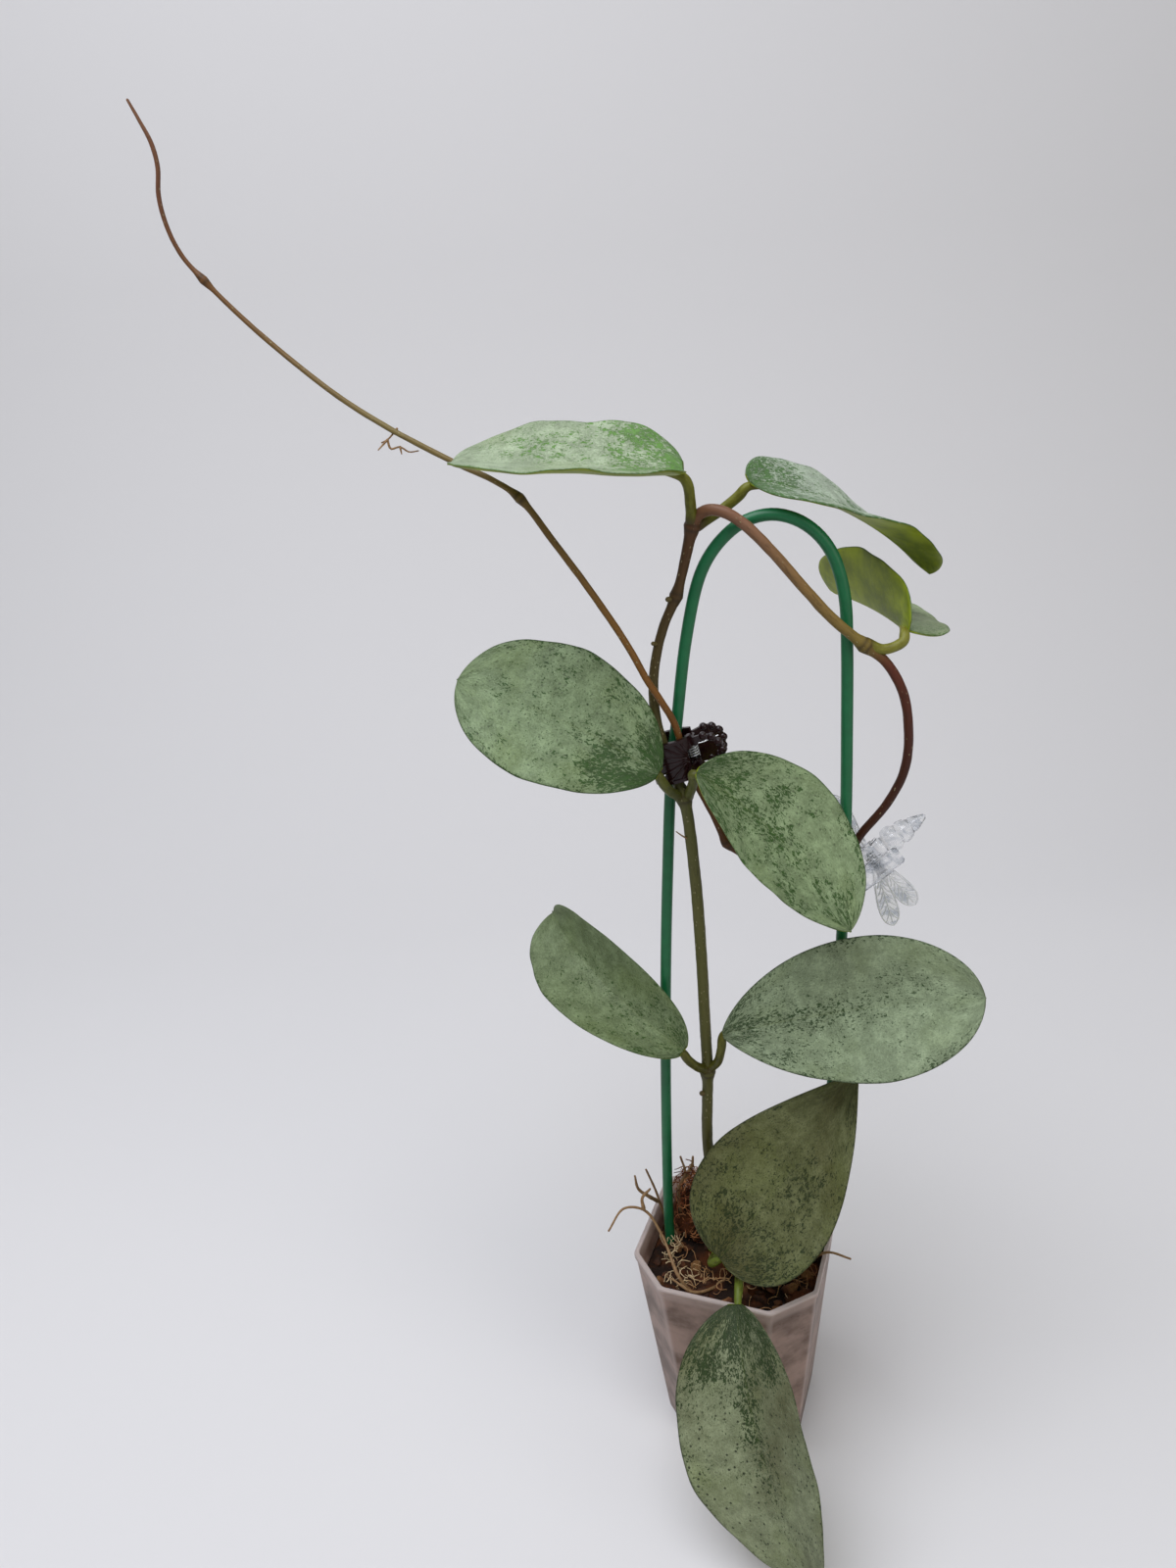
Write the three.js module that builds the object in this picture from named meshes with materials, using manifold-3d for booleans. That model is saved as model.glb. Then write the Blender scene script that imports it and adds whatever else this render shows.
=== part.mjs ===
// Potted hoya vine on a wire hoop, held by a small claw clip and a clear dragonfly clip.
// Millimetres, +Z up. The origin is the centre of the pot's underside, and the plant faces -Y.

import * as THREE from "three";
import { mergeVertices } from "three/addons/utils/BufferGeometryUtils.js";
import Module from "manifold-3d";

const wasm = await Module();
wasm.setup();

// Clearance kept between pieces that touch
const GAP = 0.3;
const DEGREE = Math.PI / 180;

// Pot: a square with cut corners, narrower at the foot
const POT_HEIGHT = 72;
const POT_HALF_WIDTH = 30;
const POT_CORNER = 17.2;
const POT_FOOT_SCALE = 0.76;
const POT_TURN = -22.2 * DEGREE;
const POT_WALL = 1.1;
const POT_FLOOR = 1.4;
const RIM_HEIGHT = 2.2;
const RIM_LIP = 0.6;
const SLOT_LENGTH = 9;
const SLOT_WIDTH = 2.6;
const SLOT_REACH = 14;

// Substrate
const SOIL_TOP = 64.5;
const SOIL_SEED = 11;
const SOIL_CHUNKS = 20;
const SOIL_CHUNK_REACH = 25;
const SOIL_CHUNK_STRETCH = [1.25, 0.9, 0.62];
// The fibrous lump behind the stem as [x, y, z, radius, stretch upwards]
const SOIL_LUMPS = [
  [-12, 12, 67, 8, 1.5], [-9, 15, 76, 5.5, 1.5], [-15, 14, 72, 5, 1.4], [-7, 12, 84, 3.2, 1.6],
];

// Wire hoop: its route as [x, z]; it lies in one upright plane
const WIRE_RADIUS = 1.65;
const WIRE_SIDES = 8;
const WIRE_STEPS = 54;
const HOOP_ROUTE = [
  [-19.5, 18], [-21.2, 45], [-22, 70], [-20.6, 122], [-18.4, 170], [-16.1, 206], [-13.7, 236],
  [-11.2, 254], [-8, 275.5], [-4.2, 291.7], [-1.4, 297.8], [2.5, 302.8], [7.4, 306.6],
  [12.6, 308.3], [17.3, 308.2], [22.5, 306.2], [27.1, 302.4], [30.5, 297.3], [32.7, 290.8],
  [33.9, 283.9], [34.4, 272], [34.6, 250], [34.6, 222], [33.8, 184], [32.2, 146], [29.8, 108],
  [26.4, 70], [23.4, 42], [20.4, 18],
];
const HOOP_PLANE_X = -22.1;
const HOOP_PLANE_Y = 6.4;
const HOOP_PLANE_SLOPE = -0.145;

// Vine: the stem's route from inside the pot to the growing tip
const VINE_SIDES = 7;
const VINE_STEP = 7.2;
const VINE_ROUTE = [
  [-1.5, -6, 14], [-2, -6, 45], [-2.6, -5, 70], [-5.4, -1.2, 86], [-8.2, 0.7, 107],
  [-7.3, 1.2, 137.5], [-7.5, 1, 158.4], [-7.7, 0.8, 177.8], [-8.5, 0.5, 204.5],
  [-10.7, 0.6, 231.2], [-12.7, 1.1, 237.3], [-15, 1.7, 244.7], [-17, 2.4, 253.2],
  [-17.5, 3.5, 261.4], [-16.7, 4.2, 269.5], [-13.8, 4.2, 280.2], [-10, 3.7, 288.6],
  [-7.3, 3.2, 297.9], [-5.6, 3, 304.7], [-4.4, 2.4, 308.6], [-1.7, 1, 310.7],
  [1.8, -0.7, 310.7], [7, -2.3, 307.6], [14.8, -4, 299.3], [22.7, -4.9, 289.5],
  [29.7, -5.9, 281.3], [37.8, -6.3, 273.9], [43.7, -6.2, 268.6], [48.6, -5.5, 259.7],
  [50.9, -4.2, 248.2], [50.6, -2.7, 236], [46.5, -0.7, 225.1], [39.5, 1, 215], [36.7, 1.9, 208.8],
  [35.8, 2.1, 205.6], [34, 2.3, 203], [30.8, 2.5, 201.9], [26.4, 2.7, 202.4], [20, 2.9, 203.6],
  [13, 2.9, 206], [7, 2.5, 210.2],
  [1.5, 2, 215.5], [-2.7, 1.8, 225.3], [-6.5, 1.6, 233.9], [-8.7, 1.5, 239.5],
  [-10.6, 1.2, 246.5], [-12.4, 1, 253.7], [-15.6, -0.5, 260.5], [-19.2, -0.8, 267.1],
  [-24, -0.4, 277.3], [-33.2, 2, 293], [-41.2, 4.1, 305.3], [-49.1, 6.3, 316.9],
  [-55.5, 8.2, 321.6], [-63.7, 11.4, 325.6], [-73.5, 14.9, 330.9], [-82.2, 18.2, 335.9],
  [-93.4, 22.8, 343.3], [-105.5, 27.6, 353.2], [-117.3, 31.3, 364.4], [-126.9, 33.7, 375.1],
  [-131.2, 34.4, 380.8], [-133.7, 34.7, 387.6], [-134.4, 34.8, 395.2], [-133.2, 34.7, 401.6],
  [-133.7, 34.8, 407], [-135.8, 35, 412.6], [-137.6, 35.3, 416.8],
];
// Stem radius at shares of the whole length
const VINE_TAPER = [
  [0, 1.75], [0.26, 1.72], [0.3, 1.65], [0.33, 1.45], [0.36, 1.3], [0.385, 1.3], [0.4, 1.55],
  [0.42, 1.5], [0.44, 1.4], [0.475, 1.42], [0.5, 1.32], [0.56, 1.25], [0.66, 1], [0.72, 0.96],
  [0.79, 0.92], [0.81, 0.76], [0.87, 0.76], [0.92, 0.68], [0.95, 0.6], [0.985, 0.58], [1, 0.35],
];
// Swollen nodes as [x, y, z, radius]
const VINE_NODES = [
  [-2.6, -5, 71, 2.5], [-7.3, 1.2, 137.5, 2.6], [-10.7, 0.6, 231.2, 2.6], [-10, 3.7, 288.6, 1.9],
  [-4.9, 2.8, 307, 2.3], [37.8, -6.3, 273.9, 2.2], [1.5, 2, 215.5, 2], [-49.1, 6.3, 316.9, 1.45],
  [-126.9, 33.7, 375.1, 1.2],
];
// Old scars and stubs on the stem as [x, y, z, radius]
const VINE_STUBS = [[-9.3, 0.2, 129.5, 1], [-12.1, 2.9, 287.8, 0.9], [-16.7, 3.2, 276, 0.7]];
// Aerial rootlets, each from inside the stem outwards
const ROOTLETS = [
  [[-9.6, 0.2, 218.4], [-11.6, -1.2, 220.2], [-13.6, -1.8, 222.2]],
  [[-80.5, 17.5, 335], [-81, 16.4, 331.5], [-84.5, 16.2, 329.6], [-88, 16.6, 330]],
  [[-76.5, 16, 332.4], [-77.4, 15.2, 329.8], [-74.6, 15, 328.6]],
];
const ROOTLET_RADIUS = 0.42;
const ROOTLET_SIDES = 4;
// Soil roots that show at the surface, each from inside the stem's foot outwards
const SOIL_ROOTS = [
  [[-1.8, -6, 58], [-14, 2, 61], [-22.5, 13.6, 68], [-25.6, 15.4, 79], [-28.3, 15.4, 88]],
  [[-1.8, -6, 56], [-14, -14, 60], [-20.4, -14, 67.5], [-25, -3, 76], [-30, 1, 83.5],
    [-37, 0, 86], [-42.5, -3, 80]],
  [[-1.8, -6, 60], [-8, -14, 64], [-17, -19.4, 67.6], [-23.6, -16.4, 71]],
  [[-1.8, -6, 57], [12, -7, 61], [21, -10.5, 67.4], [27.6, -14.6, 74.8], [33.8, -17.8, 74.6]],
];
const SOIL_ROOT_RADIUS = 0.75;
const SOIL_ROOT_TAPER = 0.45;
const SOIL_ROOT_SIDES = 5;

// Leaves
const BLADE_THICKNESS = 1.2;
const BLADE_ROWS = 13;
const BLADE_COLUMNS = 8;
const BLADE_END_HALF_WIDTH = 0.7;
const BLADE_WAVE_LAG = 1.1;
const PETIOLE_RADIUS = 1.4;
const PETIOLE_DROP = 1;
const PETIOLE_END_SHARE = 0.09;
const PETIOLE_THIN_FROM = 0.6;
const PETIOLE_THINNING = 0.55;
const PETIOLE_SIDES = 6;

// Each leaf: blade base, heading and rise of its midrib, roll about it, size, how the midrib arches
// down, sweeps left and twists, how the halves fold up at base and tip, and the outline's fullness.
const LEAVES = [
  { name: "leaf_a_front", base: [-4.9, -32, 74.4], heading: -92.7, rise: -40, roll: 24, length: 80.5,
    width: 44.2, arch: 37, sweep: 8, twist: 17, fold: 18, foldTip: 6, curl: 14, baseFull: 0.61,
    tipFull: 0.73, lopsided: -0.09, wave: 0.9, waves: 2.5,
    petiole: [[-2.4, -6, 69], [-1.6, -16, 74.6], [-3.2, -26.5, 75.8]] },
  { name: "leaf_a_upright", base: [-8.2, -20.3, 81.8], heading: 9.4, rise: 48.4, roll: 39.7,
    length: 75.8, width: 46.3, arch: 1, sweep: 8.4, twist: 0.8, fold: 13.4, foldTip: 3.2, curl: 11,
    baseFull: 0.52, tipFull: 1.14, lopsided: 0, wave: 0.8, waves: 2.2,
    petiole: [[-2.8, -5, 72.5], [-8, -10.5, 74], [-10.4, -17.5, 77.2]] },
  { name: "leaf_b_left", base: [-15.2, -5.1, 149.9], heading: 149.5, rise: 30.7, roll: -33.9,
    length: 66.2, width: 33.2, arch: 35.4, sweep: -18.3, twist: -39, fold: 25.8, foldTip: 15.4,
    curl: 30.8, baseFull: 0.46, tipFull: 0.48, lopsided: 0.09, wave: 0.6, waves: 3.4,
    petiole: [[-7.4, 1, 138], [-10.4, -1.6, 141], [-13.6, -4, 145.8]] },
  { name: "leaf_b_right", base: [-2.6, -3.5, 153.5], heading: -12.6, rise: 20, roll: 61.9,
    length: 77.4, width: 43, arch: 1.7, sweep: -12.6, twist: 6.2, fold: 5, foldTip: 8, curl: 5.3,
    baseFull: 0.76, tipFull: 0.54, lopsided: 0, wave: 0.8, waves: 2.3,
    petiole: [[-7.3, 1.2, 138], [-4.4, -1.2, 142], [-3.2, -2.8, 148]] },
  { name: "leaf_c_left", base: [-18.1, -8, 242.9], heading: 166, rise: 34.3, roll: -49.4, length: 61.4,
    width: 40.7, arch: 16.7, sweep: 9.9, twist: -0.9, fold: 12.4, foldTip: 0.6, curl: 6, baseFull: 0.61,
    tipFull: 0.54, lopsided: 0, wave: 0.9, waves: 2.8,
    petiole: [[-11.6, 0.6, 231.8], [-14.6, -2.8, 235], [-16.8, -6, 239]] },
  { name: "leaf_c_right", base: [-7.8, -8.7, 242.6], heading: 3.2, rise: -39, roll: 43.4,
    length: 62, width: 40.6, arch: -8, sweep: -37, twist: 5.2, fold: 15, foldTip: 12, curl: 16.7,
    baseFull: 0.65, tipFull: 0.72, lopsided: -0.02, wave: 0.5, waves: 2.4,
    petiole: [[-9.8, 0.6, 231.4], [-9, -2.2, 234.8], [-8.4, -5.2, 238.8]] },
  { name: "leaf_e_left", base: [-7.2, -1, 321.2], heading: 181.6, rise: 9, roll: -13.7, length: 58,
    width: 39.1, arch: 5, sweep: 0, twist: 1.5, fold: 13.3, foldTip: 5.5, curl: 13.3, baseFull: 0.43,
    tipFull: 0.6, lopsided: 0, wave: 0.7, waves: 2.2,
    petiole: [[-5.2, 2.4, 307.8], [-5.6, 0.6, 313], [-6.2, -0.6, 317.8]] },
  { name: "leaf_e_right", base: [10, 3, 316.8], heading: 21, rise: -12, roll: 24, length: 68,
    width: 36, arch: 34, sweep: -8, twist: -24, fold: 8, foldTip: 12, curl: 3, baseFull: 0.48,
    tipFull: 0.55, lopsided: 0, wave: 0.5, waves: 2.4,
    petiole: [[-3.9, 3.7, 306.6], [1.4, 5, 310], [6.4, 4, 314.6]] },
  { name: "leaf_f_back", base: [50, -5, 276.5], heading: 88.6, rise: -2.3, roll: 58.4, length: 64,
    width: 37.6, arch: 12, sweep: 7.6, twist: -27, fold: 37.8, foldTip: 19, curl: 3, baseFull: 0.49,
    tipFull: 0.41, lopsided: -0.06, wave: 0.6, waves: 2,
    petiole: [[38.2, -6, 274.2], [43, -6.8, 272.4], [48, -6.4, 274]] },
];

// Claw clip: hinge pin at the middle, jaws towards -x, finger tabs towards +x
const CLAW_HINGE = [-7.1, 3.7, 244.4];
const CLAW_TILT = 13 * DEGREE;
const CLAW_HALF_HEIGHT = 6;
const CLAW_PLATE = 1;
const CLAW_NEAR_JAW = [
  [0.3, -2.5], [-0.6, -4.5], [-2.6, -5.8], [-5.4, -6.2], [-8.2, -6.1], [-10.4, -5.1], [-11.8, -3.2],
  [-12, -1.4],
];
const CLAW_FAR_JAW = [
  [0.3, 2.5], [-1.5, 3.3], [-4.5, 3.7], [-8, 3.5], [-10.6, 2.3], [-11.9, 0.6],
];
const CLAW_TEETH = 4;
const CLAW_TOOTH_GAP = 1.1;
const CLAW_TOOTH_START = -8.6;
const CLAW_RIBS = 5;
const CLAW_RIB_HEIGHT = 0.5;
const CLAW_RIB_HALF = 0.45;
const CLAW_RIB_REACH = 5.1;
const CLAW_TAB_LENGTH = 8.6;
const CLAW_TAB_SPREAD = 17 * DEGREE;
const CLAW_TAB_ROOT = 2.5;
const CLAW_SCALLOPS = 7;
const CLAW_SCALLOP_RADIUS = 1.15;
const CLAW_SCALLOP_DEPTH = 1.2;
const CLAW_TAB_RADIUS = 4.7;
const CLAW_TAB_SHIFT = 0.2;
const CLAW_WINDOW_START = 2.2;
const CLAW_WINDOW_END = 1.6;
const CLAW_WINDOW_HALF_HEIGHT = 3.1;
const CLAW_SPRING_WINDOW = [-1.1, 2.4];
const CLAW_SPRING_WINDOW_HALF_HEIGHT = 2.4;
const CLAW_EAR_RADIUS = 1.5;
const CLAW_PIN_RADIUS = 0.45;
const CLAW_BORE_RADIUS = 0.75;
const CLAW_NEAR_EAR = 4.2;
const CLAW_FAR_EAR = 2.75;
const CLAW_EAR_THICKNESS = 1.1;
const CLAW_EAR_SINK = 0.3;
const CLAW_EAR_NECK = [-0.7, 1.3];
const CLAW_COIL_RADIUS = 1.2;
const CLAW_COIL_HALF_LENGTH = 1.9;
const CLAW_SPRING_WIRE = 0.3;
const CLAW_SPRING_LEG = [[0.6, 0.8, 1.4], [2.6, 1.5, 1.9], [7.2, 2.9, 3]];

// Dragonfly clip: hinge pin at the middle, jaws towards -x, tail towards +x, near lever towards +z
const FLY_HINGE = [43.5, -0.6, 206.7];
const FLY_PITCH = 35 * DEGREE;
const FLY_HALF_WIDTH = 3.3;
const FLY_PLATE = 1.2;
const FLY_FAR = 5;
const FLY_NEAR = 3.4;
const FLY_JAW_REACH = 17;
const FLY_JAW_NECK = 12.5;
const FLY_JAW_HALF_TIP = 2.3;
const FLY_TAIL_START = 2;
const FLY_LEVER_REACH = 7.5;
const FLY_TAIL_PROFILE = [
  [0, 0], [2.4, 0.2], [3, 1.6], [2.4, 3], [3.6, 4], [3.9, 6.4], [3, 8], [3.4, 9], [3, 11], [2.2, 12.2],
  [2.3, 13], [1.6, 15], [0.8, 16.9], [0, 17.4],
];
const FLY_WING_WIDTH = 6.6;
const FLY_WING_THICKNESS = 0.9;
const FLY_WING_ROOT = 1.6;
const FLY_WING_DROP = 1.4;
// Wings on each side as [length, angle swept back from square to the body]
const FLY_WINGS = [[21.5, 3 * DEGREE], [24.5, -19 * DEGREE]];
const FLY_CHEEK = 0.9;
const FLY_CHEEK_REACH = 1.6;
const FLY_TIP_HOOK = 1.2;
const FLY_JAW_CHEEK = 0.8;
const FLY_JAW_CHEEK_REACH = 1.5;
const FLY_BODY_HALF_SIZE = [5, 3, 2.1];
const FLY_HEAD_RADIUS = 2.4;
const FLY_HEAD_AT = -6.6;
const FLY_PIN_RADIUS = 0.5;
const FLY_BORE_RADIUS = 0.85;
const FLY_COIL_RADIUS = 1.3;

function solidOf(geometry) {
  const bare = geometry.clone();
  bare.deleteAttribute("normal");
  bare.deleteAttribute("uv");
  const merged = mergeVertices(bare, 1e-4);
  return new wasm.Manifold(
    new wasm.Mesh({
      numProp: 3,
      vertProperties: new Float32Array(merged.attributes.position.array),
      triVerts: new Uint32Array(merged.index.array),
    }),
  );
}

function meshOf(name, solid, material) {
  const made = solid.getMesh();
  const geometry = new THREE.BufferGeometry();
  geometry.setAttribute("position", new THREE.BufferAttribute(made.vertProperties, 3));
  geometry.setIndex(new THREE.BufferAttribute(made.triVerts, 1));
  geometry.computeVertexNormals();
  const mesh = new THREE.Mesh(geometry, material);
  mesh.name = name;
  return mesh;
}

function material(color, roughness, metalness = 0, extra = {}) {
  return new THREE.MeshStandardMaterial({ color, roughness, metalness, ...extra });
}

function movePoints(geometry, move) {
  const position = geometry.attributes.position;
  const point = new THREE.Vector3();
  for (let i = 0; i < position.count; i += 1) {
    point.fromBufferAttribute(position, i);
    move(point);
    position.setXYZ(i, point.x, point.y, point.z);
  }
  return geometry;
}

function vector([x, y, z]) {
  return new THREE.Vector3(x, y, z);
}

function box(x0, x1, y0, y1, z0, z1) {
  const geometry = new THREE.BoxGeometry(x1 - x0, y1 - y0, z1 - z0);
  return solidOf(geometry.translate((x0 + x1) / 2, (y0 + y1) / 2, (z0 + z1) / 2));
}

function ball(x, y, z, radius, detail = 1) {
  return solidOf(new THREE.IcosahedronGeometry(radius, detail).translate(x, y, z));
}

// A rod along Z between two heights
function rod(radius, z0, z1, sides = 10) {
  const geometry = new THREE.CylinderGeometry(radius, radius, z1 - z0, sides);
  return solidOf(geometry.rotateX(Math.PI / 2).translate(0, 0, (z0 + z1) / 2));
}

function ringSection(sides) {
  const points = [];
  for (let i = 0; i < sides; i += 1) {
    const angle = (2 * Math.PI * i) / sides;
    points.push(new THREE.Vector2(Math.cos(angle), Math.sin(angle)));
  }
  return new THREE.Shape(points);
}

// A closed tube along a route, whose radius is a function of the share of its length
function tube(route, radiusAt, sides, steps) {
  const curve = new THREE.CatmullRomCurve3(route.map(vector), false, "centripetal");
  const frames = curve.computeFrenetFrames(steps, false);
  const geometry = new THREE.ExtrudeGeometry(ringSection(sides), {
    depth: 1,
    steps,
    bevelEnabled: false,
  });
  return solidOf(
    movePoints(geometry, (point) => {
      const k = Math.round(point.z * steps);
      const radius = radiusAt(k / steps);
      const across = frames.normals[k].clone().multiplyScalar(point.x * radius);
      const over = frames.binormals[k].clone().multiplyScalar(point.y * radius);
      point.copy(curve.getPointAt(k / steps)).add(across).add(over);
    }),
  );
}

function stepsFor(route, step) {
  const curve = new THREE.CatmullRomCurve3(route.map(vector), false, "centripetal");
  return Math.ceil(curve.getLength() / step);
}

// A seeded random number from 0 to 1
function randomFrom(seed) {
  let state = seed;
  return () => {
    state = (state * 1664525 + 1013904223) % 4294967296;
    return state / 4294967296;
  };
}

// Pot and substrate
function potOutline(halfWidth) {
  const flat = halfWidth - (POT_CORNER * halfWidth) / POT_HALF_WIDTH / Math.SQRT2;
  const corners = [
    [-flat, -halfWidth], [flat, -halfWidth], [halfWidth, -flat], [halfWidth, flat],
    [flat, halfWidth], [-flat, halfWidth], [-halfWidth, flat], [-halfWidth, -flat],
  ];
  return new THREE.Shape(corners.map(([x, y]) => new THREE.Vector2(x, y)));
}

function potScale(z) {
  return POT_FOOT_SCALE + ((1 - POT_FOOT_SCALE) * z) / POT_HEIGHT;
}

// The pot's outer form between two heights, drawn in by an inset
function potPrism(z0, z1, inset) {
  const geometry = new THREE.ExtrudeGeometry(potOutline(POT_HALF_WIDTH), {
    depth: z1 - z0,
    bevelEnabled: false,
  });
  movePoints(geometry, (point) => {
    const z = point.z + z0;
    const scale = potScale(z) - inset / POT_HALF_WIDTH;
    point.set(point.x * scale, point.y * scale, z);
  });
  return solidOf(geometry.rotateZ(POT_TURN));
}

function makePot() {
  let pot = potPrism(0, POT_HEIGHT, 0);
  pot = pot.add(potPrism(POT_HEIGHT - RIM_HEIGHT, POT_HEIGHT, -RIM_LIP));
  pot = pot.subtract(potPrism(POT_FLOOR, POT_HEIGHT + 1, POT_WALL));
  for (let i = 0; i < 4; i += 1) {
    const slot = new THREE.BoxGeometry(SLOT_LENGTH, SLOT_WIDTH, 6);
    slot.translate(SLOT_REACH, 0, 0).rotateZ(POT_TURN + (i * Math.PI) / 2);
    pot = pot.subtract(solidOf(slot));
  }
  return pot;
}

// Bark and coir: a filled block with a lumpy top, and a fibrous lump behind the stem
function makeSoil(cutters) {
  const random = randomFrom(SOIL_SEED);
  let soil = potPrism(POT_FLOOR + GAP, SOIL_TOP, POT_WALL + GAP);
  const limit = potPrism(POT_FLOOR + GAP, POT_HEIGHT + 30, POT_WALL + GAP);
  for (let i = 0; i < SOIL_CHUNKS; i += 1) {
    const angle = random() * 2 * Math.PI;
    const reach = SOIL_CHUNK_REACH * Math.sqrt(random());
    const chunk = new THREE.IcosahedronGeometry(2.6 + 3 * random(), 0);
    chunk.scale(...SOIL_CHUNK_STRETCH).rotateZ(random() * Math.PI).rotateX(random() - 0.5);
    chunk.translate(reach * Math.cos(angle), reach * Math.sin(angle), SOIL_TOP + 1.2 * random());
    soil = soil.add(solidOf(chunk));
  }
  for (const [x, y, z, radius, tall] of SOIL_LUMPS) {
    const lump = new THREE.IcosahedronGeometry(radius, 1);
    soil = soil.add(solidOf(lump.scale(1, 1, tall).translate(x, y, z)));
  }
  soil = soil.intersect(limit);
  for (const cutter of cutters) soil = soil.subtract(cutter);
  return soil.decompose().sort((a, b) => b.volume() - a.volume())[0];
}

// Hoop
function hoopRoute() {
  return HOOP_ROUTE.map(([x, z]) => [x, HOOP_PLANE_Y + HOOP_PLANE_SLOPE * (x - HOOP_PLANE_X), z]);
}

function makeHoop(extra = 0) {
  const route = hoopRoute();
  route[0][2] -= extra;
  route[route.length - 1][2] -= extra;
  return tube(route, () => WIRE_RADIUS + extra, WIRE_SIDES, WIRE_STEPS);
}

// Vine
function vineRadius(share) {
  const next = VINE_TAPER.findIndex(([at]) => at >= share);
  if (next <= 0) return VINE_TAPER[0][1];
  const [a, ra] = VINE_TAPER[next - 1];
  const [b, rb] = VINE_TAPER[next];
  return ra + ((rb - ra) * (share - a)) / (b - a);
}

function makeVine(extra = 0) {
  const steps = stepsFor(VINE_ROUTE, VINE_STEP);
  const [[footX, footY, footZ], ...rest] = VINE_ROUTE;
  const route = [[footX, footY, footZ - extra], ...rest];
  let vine = tube(route, (share) => vineRadius(share) + extra, VINE_SIDES, steps);
  for (const [x, y, z, radius] of VINE_NODES) vine = vine.add(ball(x, y, z, radius + extra));
  for (const [x, y, z, radius] of VINE_STUBS) vine = vine.add(ball(x, y, z, radius + extra, 0));
  for (const rootlet of ROOTLETS) {
    vine = vine.add(tube(rootlet, () => ROOTLET_RADIUS + extra, ROOTLET_SIDES, rootlet.length));
  }
  for (const root of SOIL_ROOTS) {
    const radius = (share) => SOIL_ROOT_RADIUS * (1 - SOIL_ROOT_TAPER * share) + extra;
    vine = vine.add(tube(root, radius, SOIL_ROOT_SIDES, 2 * root.length));
  }
  return vine;
}

// Leaves
function outlineFullness(leaf, share) {
  const { baseFull, tipFull } = leaf;
  const peak = baseFull / (baseFull + tipFull);
  const most = peak ** baseFull * (1 - peak) ** tipFull;
  return (share ** baseFull * (1 - share) ** tipFull) / most;
}

// The midrib's points and frames from base to tip
function midribFrames(leaf, shares) {
  const heading = leaf.heading * DEGREE;
  const rise = leaf.rise * DEGREE;
  const along = new THREE.Vector3(
    Math.cos(rise) * Math.cos(heading),
    Math.cos(rise) * Math.sin(heading),
    Math.sin(rise),
  );
  const normal = new THREE.Vector3(
    -Math.sin(rise) * Math.cos(heading),
    -Math.sin(rise) * Math.sin(heading),
    Math.cos(rise),
  );
  normal.applyAxisAngle(along, leaf.roll * DEGREE);
  const left = new THREE.Vector3().crossVectors(normal, along);
  const at = vector(leaf.base);
  const frames = [];
  shares.forEach((share, i) => {
    frames.push({ share, at: at.clone(), normal: normal.clone(), left: left.clone() });
    const run = (i + 1 < shares.length ? shares[i + 1] : 1) - share;
    const bend = leaf.arch * run * DEGREE;
    const sweep = leaf.sweep * run * DEGREE;
    const middle = along.clone().applyAxisAngle(left, bend / 2).applyAxisAngle(normal, sweep / 2);
    at.addScaledVector(middle, leaf.length * run);
    along.applyAxisAngle(left, bend);
    normal.applyAxisAngle(left, bend);
    along.applyAxisAngle(normal, sweep);
    left.applyAxisAngle(normal, sweep);
    normal.applyAxisAngle(along, leaf.twist * run * DEGREE);
    left.crossVectors(normal, along);
  });
  return frames;
}

// A point of the blade: v runs from -1 at the right margin to 1 at the left margin
function bladePoint(leaf, frame, v) {
  const side = Math.sign(v);
  const out = Math.abs(v);
  const full = outlineFullness(leaf, frame.share);
  const half = Math.max((leaf.width / 2) * full, BLADE_END_HALF_WIDTH) * (1 + leaf.lopsided * side);
  const fold = leaf.fold + (leaf.foldTip - leaf.fold) * frame.share + (leaf.curl * out) / 2;
  const turn = 2 * Math.PI * leaf.waves * frame.share + BLADE_WAVE_LAG * side;
  const lift = leaf.wave * out * out * full * Math.sin(turn);
  return frame.at
    .clone()
    .addScaledVector(frame.left, side * half * out * Math.cos(fold * DEGREE))
    .addScaledVector(frame.normal, half * out * Math.sin(fold * DEGREE) + lift);
}

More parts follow.
